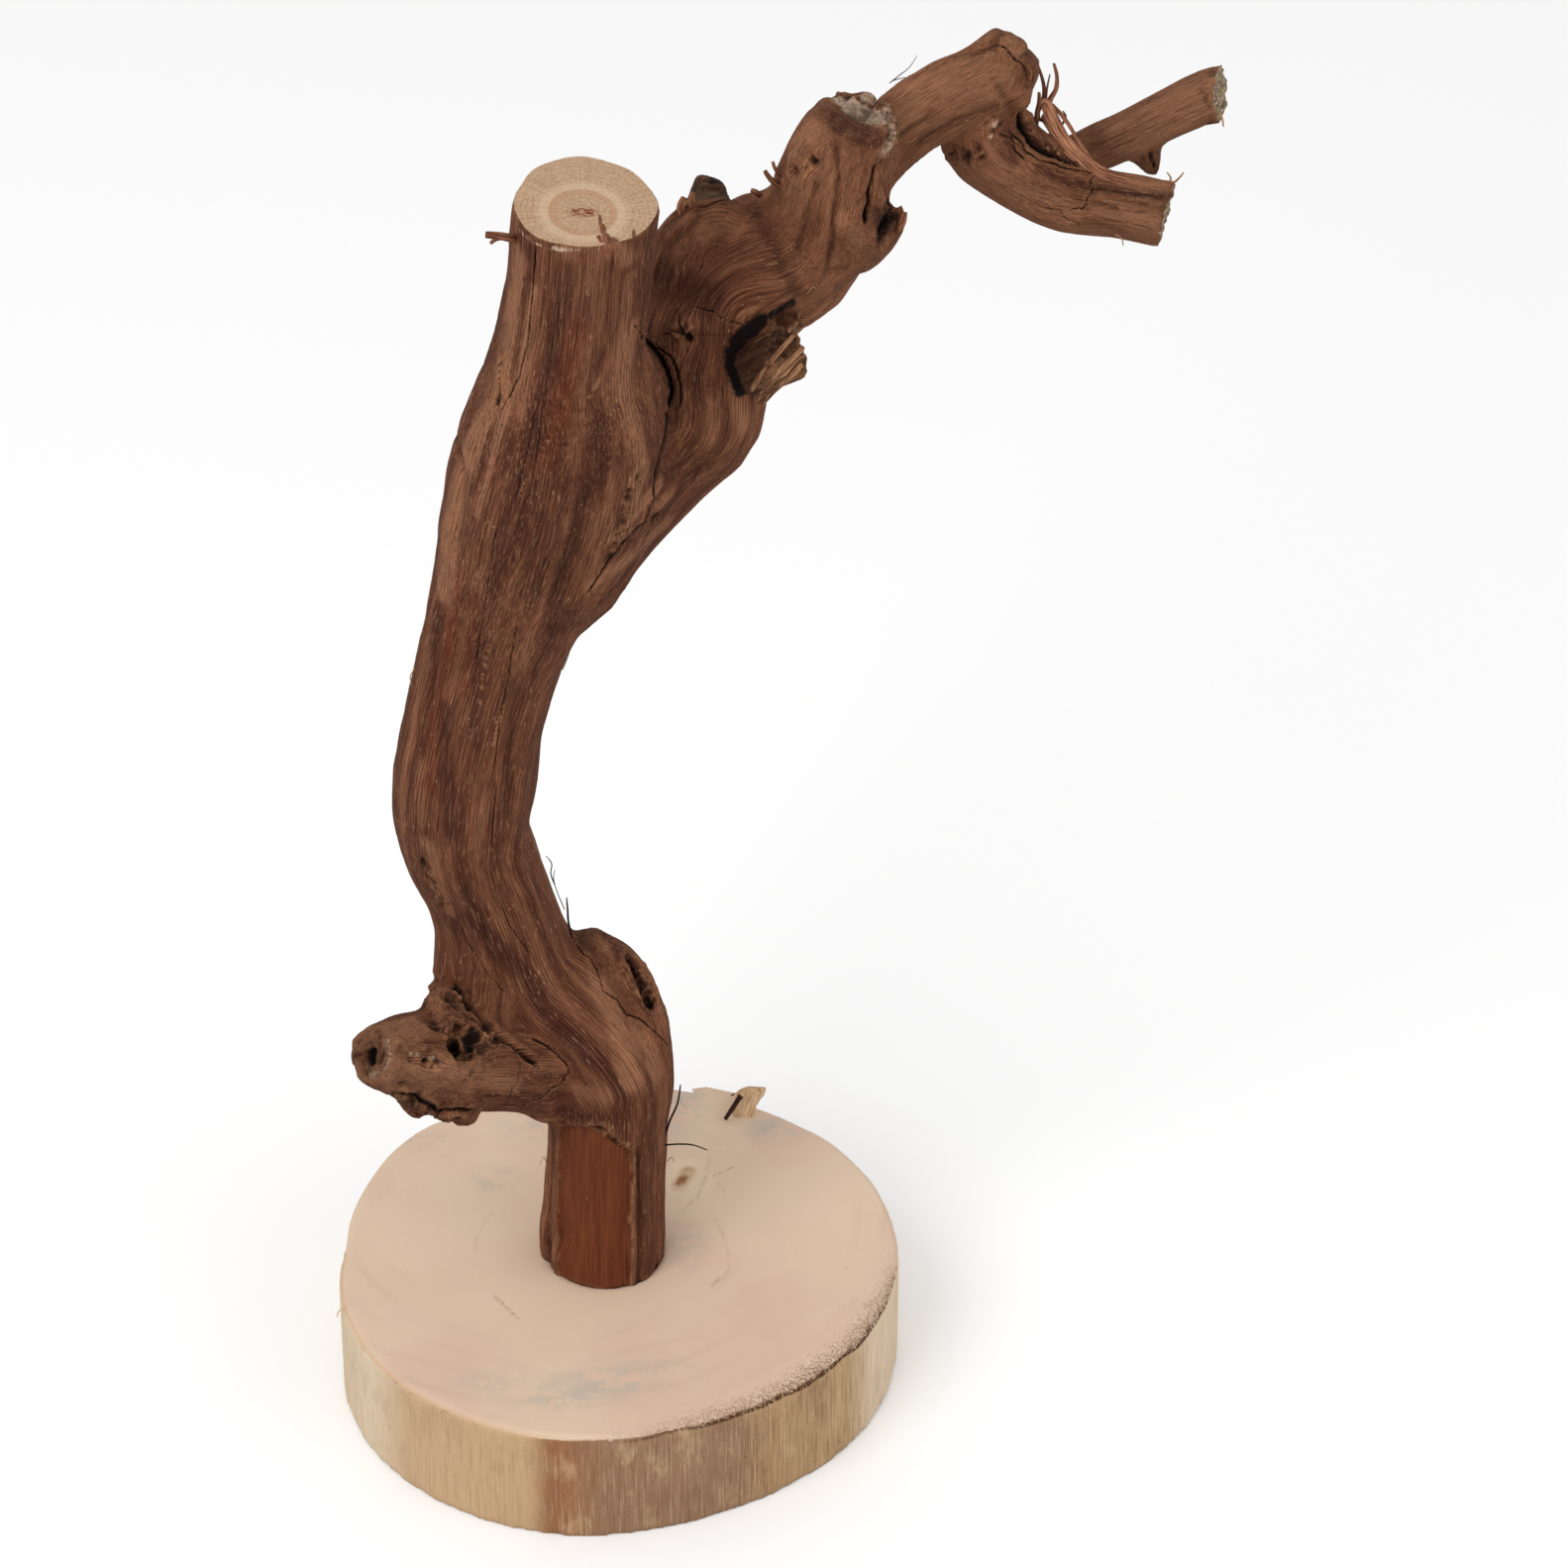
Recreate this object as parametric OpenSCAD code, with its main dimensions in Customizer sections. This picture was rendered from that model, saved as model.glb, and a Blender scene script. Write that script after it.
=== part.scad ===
// A tabletop bird perch: one natural vine branch stands in a socket in a sawn
// wooden slice, and a screw and washer draw it down from below.
// The origin is on the screw's axis, at the underside of the slice. +Z is up,
// +X is the way the long arm reaches and -Y is the front.

/* [Base slice] */
// Mean diameter of the slice
slice_d = 121; // [105:1:150]
// Thickness of the slice
slice_t = 27; // [23:0.5:36]

/* [Branch] */
// Height of the sawn stem top above the slice
branch_h = 274; // [230:1:320]
// Distance that the twig's tip lies to the right of the foot
arm_reach = 127; // [105:1:150]
// Distance that the twig's tip lies behind the foot
arm_back = 56; // [44:1:68]
// Diameter of the stem just above the slice
stem_d = 26.5; // [25.5:0.5:30]
// Diameter of the arm where it leaves the fork
arm_d = 26; // [22:0.5:30]
// Diameter of the drooping end of the arm
tip_d = 15; // [12:0.5:17]
// Diameter of the twig that springs from the elbow
twig_d = 10; // [8:0.5:12]
// Depth of the grooves that run along the bark
groove_depth = 0.45; // [0.2:0.05:0.8]
// Thickness of the bark, which is missing from the front of the foot
bark_t = 0.6; // [0.3:0.1:1]

/* [Knob, stubs and hollows] */
// Height of the broken knob above the middle of the arm
knob_h = 23; // [19:0.5:27]
// Diameter of the broken knob
knob_d = 21; // [18:0.5:24]
// Length of the low stub from the middle of the stem
stub_len = 60; // [52:1:68]
// Diameter of the low stub
stub_d = 21; // [18:0.5:23]
// Length of the dead stub from the middle of the arm
dead_len = 27; // [24:0.5:31]
// Diameter of the dead stub
dead_d = 10.5; // [9:0.5:12]
// Diameter of the healed collar on the right of the stem
collar_d = 20; // [17:0.5:23]
// Diameter of the hollow in the end of the low stub
hollow_d = 8; // [6:0.5:9]
// Depth of the hollow in the end of the low stub
hollow_depth = 9; // [6:0.5:12]

/* [Foot joint] */
// Diameter of the socket bored in the slice for the foot
socket_d = 23; // [20:0.5:24]
// Depth of the socket
socket_depth = 8; // [5:0.5:10]
// Gap round the foot in its socket, which the glue fills
foot_gap = 0.2; // [0.1:0.05:0.4]

/* [Screw] */
// Outer diameter of the screw's thread
screw_d = 5; // [4:0.5:6]
// Length of the screw below its head
screw_len = 50; // [40:1:60]
// Diameter of the screw's pan head
head_d = 9.5; // [8.5:0.5:11]
// Height of the screw's pan head
head_h = 3.2; // [2.6:0.2:4]
// Diameter of the washer
washer_d = 15; // [13:0.5:18]
// Thickness of the washer
washer_t = 1.2; // [0.8:0.1:2]
// Depth that the head is sunk above the underside of the slice
head_sink_depth = 2; // [1:0.5:3]

/* [Hidden] */

// Overrun of a cut past the face that it opens
overrun = 1;
// Clearance of the screw in the slice and in the washer
screw_gap = 0.25;
// Clearance of the washer in its counterbore
washer_gap = 0.5;
// Clearance of the thread in the hole that it has cut in the branch
thread_gap = 0.15;
// Length of the screw's point, and the diameter of its blunt end
point_len = 6;
point_d = 1;
// Width, length and depth of the screw's cross recess
recess_w = 1.1;
recess_len = 5;
recess_depth = 1.8;

// Heights above the underside of the slice
seat_z = head_sink_depth + head_h;
washer_top_z = seat_z + washer_t;
socket_z = slice_t - socket_depth;
screw_top_z = seat_z + screw_len;

// Directions from the foot
front = [0, -1, 0];
up = [0, 0, 1];

// Sides of a limb's section, and rings between two rows of its table
stem_sides = 32;
arm_sides = 24;
stub_sides = 18;
twig_sides = 14;
small_sides = 10;
rings_per_row = 3;
// Sides of round holes, lips and pits
round_sides = 28;
lip_sides = 8;
strip_sides = 6;

// How far a limb's section is out of round, and how many grooves it has
oval_share = 0.035;
flute_share = 0.03;
oval_twist = 150;
flute_twist = 220;

// The bare patch on the front of the foot: its middle and half-width as turns
// from the front, and the share of the stem that it runs up
bare_turn = -9;
bare_half_turn = 39;
bare_share = 0.15;

// Outline of the slice: radius about the foot every 15 degrees, counted from
// +X, as shares of its mean radius
rim_radius_shares = [
    1.04, 1.04, 1.04, 1.03, 1.01, 1.00, 1.00, 0.99, 0.99, 1.01, 0.98, 0.95,
    0.94, 0.97, 0.99, 1.01, 1.02, 1.03, 1.02, 1.00, 0.99, 1.00, 1.02, 1.03];
sides_per_step = 4;
// The scar that a side branch left in the back of the slice's rim
scar_turn = 66;
scar_w = 5;
scar_len = 9;
scar_depth = 4;

// Limb tables. A row holds a place, as shares of the arm's reach, the arm's
// depth and the branch's height, then a thickness as a share of the limb's own
stem_shares = [
    [ 0.000,  0.00, 0.000, 0.99],
    [ 0.003,  0.01, 0.062, 0.99],
    [ 0.007,  0.02, 0.125, 1.01],
    [ 0.007,  0.04, 0.172, 1.07],
    [-0.054,  0.08, 0.214, 1.07],
    [-0.136,  0.09, 0.263, 1.03],
    [-0.180,  0.06, 0.338, 1.00],
    [-0.214,  0.02, 0.398, 1.06],
    [-0.210,  0.01, 0.445, 1.15],
    [-0.197,  0.01, 0.490, 1.11],
    [-0.176,  0.01, 0.534, 1.12],
    [-0.151, -0.01, 0.580, 1.15],
    [-0.123, -0.05, 0.627, 1.25],
    [-0.087, -0.11, 0.688, 1.42],
    [-0.056, -0.18, 0.749, 1.51],
    [-0.031, -0.27, 0.810, 1.40],
    [-0.025, -0.37, 0.867, 1.11],
    [-0.009, -0.44, 0.923, 1.03],
    [ 0.006, -0.52, 1.000, 1.01]];
arm_shares = [
    [-0.061, -0.01, 0.614, 0.60],
    [ 0.014,  0.02, 0.674, 0.98],
    [ 0.098,  0.08, 0.720, 1.03],
    [ 0.160,  0.13, 0.755, 1.17],
    [ 0.169,  0.18, 0.799, 1.12],
    [ 0.218,  0.26, 0.840, 1.13],
    [ 0.318,  0.33, 0.864, 1.13],
    [ 0.380,  0.37, 0.904, 0.70],
    [ 0.455,  0.46, 0.937, 0.57],
    [ 0.534,  0.58, 0.953, 0.61],
    [ 0.590,  0.65, 0.958, 0.65],
    [ 0.628,  0.68, 0.967, 0.63],
    [ 0.662,  0.72, 0.986, 0.50]];
tip_shares = [
    [ 0.612,  0.68, 0.958, 0.93],
    [ 0.604,  0.68, 0.919, 1.27],
    [ 0.673,  0.65, 0.891, 1.20],
    [ 0.744,  0.58, 0.878, 1.02],
    [ 0.819,  0.51, 0.879, 0.89],
    [ 0.893,  0.43, 0.881, 0.91]];
twig_shares = [
    [ 0.652,  0.68, 0.892, 1.18],
    [ 0.730,  0.76, 0.885, 0.97],
    [ 0.793,  0.81, 0.891, 1.03],
    [ 0.902,  0.90, 0.909, 1.10],
    [ 0.992,  1.00, 0.920, 1.18]];
ridge_shares = [
    [-0.208,  0.04, 0.346, 0.70],
    [-0.207, -0.01, 0.298, 0.82],
    [-0.212, -0.10, 0.268, 0.80],
    [-0.220, -0.21, 0.239, 0.92]];
collar_shares = [
    [-0.034,  0.15, 0.281, 0.42],
    [-0.016,  0.15, 0.266, 0.62],
    [ 0.010,  0.15, 0.245, 0.82],
    [ 0.033,  0.11, 0.208, 0.98],
    [ 0.033,  0.06, 0.165, 1.08]];
// Limbs whose thickness goes with the arm's or the twig's
shoulder_shares = [
    [ 0.120,  0.18, 0.820, 0.48],
    [ 0.146,  0.20, 0.866, 0.61],
    [ 0.177,  0.22, 0.896, 0.48],
    [ 0.214,  0.24, 0.892, 0.40]];
back_stub_shares = [
    [ 0.174,  0.26, 0.885, 0.32],
    [ 0.176,  0.29, 0.904, 0.31],
    [ 0.188,  0.33, 0.922, 0.28]];
side_knob_shares = [
    [ 0.396,  0.26, 0.888, 0.76],
    [ 0.434,  0.18, 0.902, 0.58],
    [ 0.452,  0.13, 0.911, 0.42]];
twig_stub_shares = [
    [ 0.856,  0.86, 0.892, 0.86],
    [ 0.870,  0.84, 0.878, 0.66],
    [ 0.884,  0.83, 0.868, 0.42]];

// Shoot tables. A row holds a place, as shares of the shoot's own length from
// the row of the limb that it springs from, then a share of its thickness
knob_row_index = 7;
knob_shares = [
    [-0.10, -0.03, -0.22, 1.10],
    [-0.04, -0.11,  0.06, 1.16],
    [ 0.02, -0.21,  0.38, 1.09],
    [ 0.09, -0.28,  0.68, 0.99],
    [ 0.14, -0.31,  0.81, 0.89],
    [ 0.17, -0.33,  0.88, 0.66]];
stub_row_index = 3;
stub_shares = [
    [-0.12,  0.00, 0.09, 0.99],
    [-0.30, -0.13, 0.12, 0.98],
    [-0.50, -0.33, 0.29, 1.05],
    [-0.66, -0.50, 0.44, 0.89],
    [-0.77, -0.62, 0.53, 0.64]];
dead_row_index = 4;
dead_shares = [
    [ 0.10, -0.12, -0.15, 0.90],
    [ 0.27, -0.30, -0.03, 0.95],
    [ 0.46, -0.52,  0.21, 0.92],
    [ 0.64, -0.72,  0.42, 1.00]];

// Knots on the skin of a limb: the share along it and the turn about it where
// the knot starts and where it ends, then the width of its lip and of its pit
// as shares of the limb's thickness, with no pit for a plain swelling
stub_knot_shares = [
    [[0.67,  -50], [0.67,  -42], 0.46, 0.36],
    [[0.84,  -74], [0.84,  -62], 0.32, 0.20],
    [[0.50,   30], [0.64,   10], 0.36, 0.00],
    [[0.76, -142], [0.66, -160], 0.32, 0.00],
    [[0.62, -120], [0.54, -140], 0.36, 0.00]];
collar_knot_shares = [
    [[0.45,  -80], [0.68,  -60], 0.26, 0.20]];
arm_knot_shares = [
    [[0.36,  -32], [0.36,  -28], 0.16, 0.08],
    [[0.36,    5], [0.38,   45], 0.00, 0.44]];
knob_knot_shares = [
    [[0.46,  -55], [0.46,  -50], 0.26, 0.14]];
side_knob_knot_shares = [
    [[0.90,  -60], [1.00,  -30], 0.40, 0.34]];
tip_knot_shares = [
    [[0.07,    0], [0.07,    5], 0.18, 0.08]];
// Lumps of callus on the broken top of the knob: share along it, turn about
// it, then the lump's size as a share of the knob's thickness
lump_out_share = 0.60;
lump_shares = [
    [0.86,   95, 0.42],
    [0.90,  170, 0.36],
    [0.78,  -75, 0.34],
    [0.93,  -20, 0.30],
    [0.84,   40, 0.38]];

// Sprung strips of bark at the elbow, and a sprig under the sawn top: places as
// shares of the reach, the depth and the height, and the thickness of a strip
strip_t = 1.2;
strip_shares = [
    [[0.680, 0.64, 0.913], [0.700, 0.60, 0.943], [0.705, 0.58, 0.965], [0.716, 0.56, 0.986]],
    [[0.664, 0.64, 0.929], [0.684, 0.60, 0.951], [0.690, 0.59, 0.967], [0.688, 0.59, 0.980]],
    [[0.670, 0.62, 0.932], [0.722, 0.57, 0.936], [0.753, 0.55, 0.918], [0.800, 0.51, 0.898]],
    [[-0.07, -0.49, 0.968], [-0.110, -0.49, 0.971], [-0.142, -0.50, 0.971]]];

// The first three numbers of a row, its place
function place(row) = [row[0], row[1], row[2]];
function unit(v) = v / norm(v);
// Point of a smooth curve that passes through b and c
function curve(a, b, c, d, t) =
    0.5 * (2 * b + (c - a) * t + (2 * a - 5 * b + 4 * c - d) * t * t
        + (3 * b - a - 3 * c + d) * t * t * t);
// Rings along a smooth curve through every row
function smooth(rows) =
    let (last = len(rows) - 1)
    [for (i = [0:last - 1], k = [0:rings_per_row - 1])
        curve(rows[max(i - 1, 0)], rows[i], rows[i + 1],
            rows[min(i + 2, last)], k / rings_per_row),
     rows[last]];
// Rows in real sizes: shares times a span from a start, and half a diameter
function sized(shares, span, start, d) =
    [for (s = shares) [
        start[0] + s[0] * span[0],
        start[1] + s[1] * span[1],
        start[2] + s[2] * span[2],
        s[3] * d / 2]];
// Direction of a limb at ring i
function along(rings, i) =
    unit(place(rings[min(i + 1, len(rings) - 1)]) - place(rings[max(i - 1, 0)]));
// Side direction of every ring, carried along the limb without twisting
function sides(rings, side, i = 0, found = []) =
    i == len(rings) ? found
    : let (t = along(rings, i), u = unit(side - (side * t) * t))
        sides(rings, u, i + 1, concat(found, [u]));
// Radius of a limb's section at a turn from its side direction
function section_r(r, turn, t, groove_count, bare) =
    r * (1 + oval_share * cos(2 * turn + oval_twist * t)
        + flute_share * cos(3 * turn - flute_twist * t))
    - groove_depth * (1 - cos(groove_count * turn)) / 2
    - (bare && t < bare_share && abs(turn - bare_turn) < bare_half_turn ? bark_t : 0);
// Point on a ring, at a turn from its side direction
function on_ring(ring, along_limb, side, turn, r) =
    place(ring) + r * (cos(turn) * side + sin(turn) * cross(along_limb, side));
// Point on a limb's skin, or a share of its thickness further out
function on_limb(rows, side, t, turn, out = 1) =
    let (rings = smooth(rows), i = round(t * (len(rings) - 1)))
    on_ring(rings[i], along(rings, i), sides(rings, side)[i], turn, rings[i][3] * out);
// Thickness of a limb at a share along it
function limb_r(rows, t) =
    let (rings = smooth(rows)) rings[round(t * (len(rings) - 1))][3];

span = [arm_reach, arm_back, branch_h];
foot = [0, 0, slice_t];
stem = sized(stem_shares, span, foot, stem_d);
arm = sized(arm_shares, span, foot, arm_d);
tip = sized(tip_shares, span, foot, tip_d);
twig = sized(twig_shares, span, foot, twig_d);
ridge = sized(ridge_shares, span, foot, stub_d);
collar = sized(collar_shares, span, foot, collar_d);
shoulder = sized(shoulder_shares, span, foot, arm_d);
back_stub = sized(back_stub_shares, span, foot, arm_d);
side_knob = sized(side_knob_shares, span, foot, arm_d);
twig_stub = sized(twig_stub_shares, span, foot, twig_d);
knob = sized(knob_shares, [knob_h, knob_h, knob_h], place(arm[knob_row_index]), knob_d);
stub = sized(stub_shares, [stub_len, stub_len, stub_len], place(stem[stub_row_index]), stub_d);
dead = sized(dead_shares, [dead_len, dead_len, dead_len], place(arm[dead_row_index]), dead_d);

// A limb with grooved bark, swept through its rows and cut square at each end
module limb(rows, side, side_count, bare = false) {
    rings = smooth(rows);
    us = sides(rings, side);
    last = len(rings) - 1;
    points = [for (i = [0:last], k = [0:side_count - 1])
        let (turn = 360 * k / side_count - 180)
        on_ring(rings[i], along(rings, i), us[i], turn,
            section_r(rings[i][3], turn, i / last, side_count / 4, bare))];
    walls = [for (i = [0:last - 1], k = [0:side_count - 1])
        let (
            a = i * side_count + k,
            b = i * side_count + (k + 1) % side_count,
            c = b + side_count,
            d = a + side_count)
        each [[a, d, c], [a, c, b]]];
    start_cap = [for (k = [0:side_count - 1]) k];
    end_cap = [for (k = [side_count - 1:-1:0]) last * side_count + k];
    polyhedron(points = points, faces = concat(walls, [start_cap, end_cap]));
}

// The raised lip of a knot
module lip(rows, side, knot) {
    hull()
        for (end = [knot[0], knot[1]]) {
            w = knot[2] * limb_r(rows, end[0]);
            translate(on_limb(rows, side, end[0], end[1], 1 - knot[2] / 2))
                sphere(r = w * 1.2, $fn = lip_sides);
            translate(on_limb(rows, side, end[0], end[1], 1 + knot[2] / 5))
                sphere(r = w * 0.8, $fn = lip_sides);
        }
}

// The pit in a knot
module pit(rows, side, knot) {
    hull()
        for (end = [knot[0], knot[1]]) {
            w = knot[3] * limb_r(rows, end[0]);
            translate(on_limb(rows, side, end[0], end[1], 1.4))
                sphere(r = w * 1.4, $fn = lip_sides);
            translate(on_limb(rows, side, end[0], end[1], 1 - 1.3 * knot[3]))
                sphere(r = w * 0.7, $fn = lip_sides);
        }
}

// Every lip, or every pit, of a limb's knots
module lips(rows, side, knots) {
    for (knot = knots)
        if (knot[2] > 0)
            lip(rows, side, knot);
}
module pits(rows, side, knots) {
    for (knot = knots)
        if (knot[3] > 0)
            pit(rows, side, knot);
}

// The rotted hollow in the end of the low stub
module end_hollow() {
    last = len(stub) - 1;
    inward = unit(place(stub[last - 1]) - place(stub[last]));
    hull() {
        translate(place(stub[last]) - inward * hollow_d / 2)
            sphere(d = hollow_d, $fn = stub_sides);
        translate(place(stub[last]) + inward * (hollow_depth - hollow_d / 4))
            sphere(d = hollow_d / 2, $fn = stub_sides);
    }
}

// Lumps of callus on the broken top of the knob
module lumps() {
    for (lump = lump_shares)
        translate(on_limb(knob, front, lump[0], lump[1], lump_out_share))
            sphere(r = lump[2] * knob_d / 2, $fn = lip_sides);
}

// A thin strip of bark that has sprung loose
module strip(points) {
    for (i = [0:len(points) - 2])
        hull() {
            translate(points[i])
                sphere(d = strip_t, $fn = strip_sides);
            translate(points[i + 1])
                sphere(d = strip_t, $fn = strip_sides);
        }
}

module branch() {
    color("saddlebrown")
    union() {
        difference() {
            union() {
                limb(stem, front, stem_sides, bare = true);
                limb(arm, front, arm_sides);
                limb(tip, front, stub_sides);
                limb(twig, front, twig_sides);
                limb(ridge, front, stub_sides);
                limb(collar, front, stub_sides);
                limb(shoulder, front, stub_sides);
                limb(back_stub, front, small_sides);
                limb(side_knob, up, twig_sides);
                limb(twig_stub, front, small_sides);
                limb(knob, front, stub_sides);
                limb(stub, up, stub_sides);
                lips(stub, up, stub_knot_shares);
                lips(collar, front, collar_knot_shares);
                lips(arm, front, arm_knot_shares);
                lips(knob, front, knob_knot_shares);
                lips(side_knob, up, side_knob_knot_shares);
                lips(tip, front, tip_knot_shares);
                lumps();
                translate([0, 0, socket_z + foot_gap])
                    cylinder(d = socket_d - 2 * foot_gap, h = socket_depth, $fn = stem_sides);
            }
            pits(stub, up, stub_knot_shares);
            pits(collar, front, collar_knot_shares);
            pits(arm, front, arm_knot_shares);
            pits(knob, front, knob_knot_shares);
            pits(side_knob, up, side_knob_knot_shares);
            pits(tip, front, tip_knot_shares);
            end_hollow();
            // The screw's hole, clear of the thread on every flat
            cylinder(r = (screw_d / 2 + thread_gap) / cos(180 / round_sides),
                h = screw_top_z + thread_gap, $fn = round_sides);
        }
        limb(dead, front, twig_sides);
        for (points = strip_shares)
            strip([for (p = points) foot + [p[0] * span[0], p[1] * span[1], p[2] * span[2]]]);
    }
}

// Radius of the slice's rim at a turn from +X
function rim_r(turn) =
    let (
        n = len(rim_radius_shares),
        at = turn * n / 360,
        i = floor(at),
        s = rim_radius_shares)
    slice_d / 2 * curve(s[(i + n - 1) % n], s[i % n], s[(i + 1) % n], s[(i + 2) % n], at - i);

module base_slice() {
    rim_sides = len(rim_radius_shares) * sides_per_step;
    color("wheat")
    difference() {
        linear_extrude(slice_t)
            polygon([for (k = [0:rim_sides - 1])
                let (turn = 360 * k / rim_sides)
                rim_r(turn) * [cos(turn), sin(turn)]]);
        translate([0, 0, socket_z])
            cylinder(d = socket_d, h = socket_depth + overrun, $fn = 96);
        translate([0, 0, -overrun])
            cylinder(d = screw_d + 2 * screw_gap, h = slice_t, $fn = 48);
        translate([0, 0, -overrun])
            cylinder(d = washer_d + 2 * washer_gap, h = washer_top_z + overrun, $fn = 64);
        rotate([0, 0, scar_turn])
            translate([rim_r(scar_turn) - scar_len / 2, 0, slice_t])
                cube([scar_len, scar_w, 2 * scar_depth], center = true);
    }
}

module fixing_screw() {
    color("silver")
    difference() {
        union() {
            translate([0, 0, head_sink_depth])
                cylinder(d = head_d, h = head_h, $fn = 48);
            translate([0, 0, seat_z])
                cylinder(d = screw_d, h = screw_len - point_len, $fn = 48);
            translate([0, 0, screw_top_z - point_len])
                cylinder(d1 = screw_d, d2 = point_d, h = point_len, $fn = 48);
        }
        for (turn = [0, 90])
            rotate([0, 0, turn])
                translate([0, 0, head_sink_depth])
                    cube([recess_len, recess_w, 2 * recess_depth], center = true);
    }
}

module screw_washer() {
    color("silver")
    translate([0, 0, seat_z])
        difference() {
            cylinder(d = washer_d, h = washer_t, $fn = 64);
            translate([0, 0, -overrun])
                cylinder(d = screw_d + 2 * screw_gap, h = washer_t + 2 * overrun, $fn = 48);
        }
}

base_slice();
branch();
fixing_screw();
screw_washer();
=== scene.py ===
import math

import bpy
import numpy as np
from mathutils import Matrix, Vector, noise
from mathutils.bvhtree import BVHTree
from mathutils.kdtree import KDTree


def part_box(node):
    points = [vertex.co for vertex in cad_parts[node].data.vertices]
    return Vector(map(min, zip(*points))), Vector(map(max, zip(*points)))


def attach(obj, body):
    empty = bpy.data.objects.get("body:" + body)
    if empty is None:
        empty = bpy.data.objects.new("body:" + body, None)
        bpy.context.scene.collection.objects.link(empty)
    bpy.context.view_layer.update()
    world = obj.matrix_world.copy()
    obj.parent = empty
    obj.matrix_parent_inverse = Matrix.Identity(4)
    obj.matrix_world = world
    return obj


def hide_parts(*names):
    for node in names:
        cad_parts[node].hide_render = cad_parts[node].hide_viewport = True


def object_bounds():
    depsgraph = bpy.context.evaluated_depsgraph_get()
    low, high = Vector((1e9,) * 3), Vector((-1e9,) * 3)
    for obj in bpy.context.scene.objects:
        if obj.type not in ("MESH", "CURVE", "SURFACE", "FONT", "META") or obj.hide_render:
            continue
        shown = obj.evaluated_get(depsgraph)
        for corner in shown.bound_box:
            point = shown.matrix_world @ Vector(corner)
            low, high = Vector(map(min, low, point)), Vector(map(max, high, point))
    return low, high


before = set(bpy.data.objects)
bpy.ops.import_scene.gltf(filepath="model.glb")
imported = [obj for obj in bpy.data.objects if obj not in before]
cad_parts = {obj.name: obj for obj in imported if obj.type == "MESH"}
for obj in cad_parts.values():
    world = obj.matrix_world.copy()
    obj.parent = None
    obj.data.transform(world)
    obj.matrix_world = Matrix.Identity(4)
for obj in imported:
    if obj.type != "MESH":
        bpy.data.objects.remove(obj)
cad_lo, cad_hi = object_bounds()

mm = 0.001

# The view: a long lens looks down at the perch from in front, so that the slice's
# top, the sawn stem and the arm that reaches back to the right are all seen.
camera_place = (0.0380, -1.0977, 0.9066)
camera_tilt = math.radians(55.38)
camera_lens = 150.4
camera_sensor = 36.0

photo_size = 1583
pixel = camera_sensor / camera_lens / photo_size
camera_turn = np.array(Matrix.Rotation(camera_tilt, 3, "X"))
eye = np.array(camera_place)

camera = bpy.data.objects.new("view", bpy.data.cameras.new("view"))
bpy.context.collection.objects.link(camera)
camera.location = camera_place
camera.rotation_euler = (camera_tilt, 0, 0)
camera.data.lens = camera_lens
camera.data.sensor_width = camera_sensor
camera.data.clip_start = 0.05
camera.data.clip_end = 20
bpy.context.scene.camera = camera
bpy.context.scene.view_settings.view_transform = "Standard"


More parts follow.
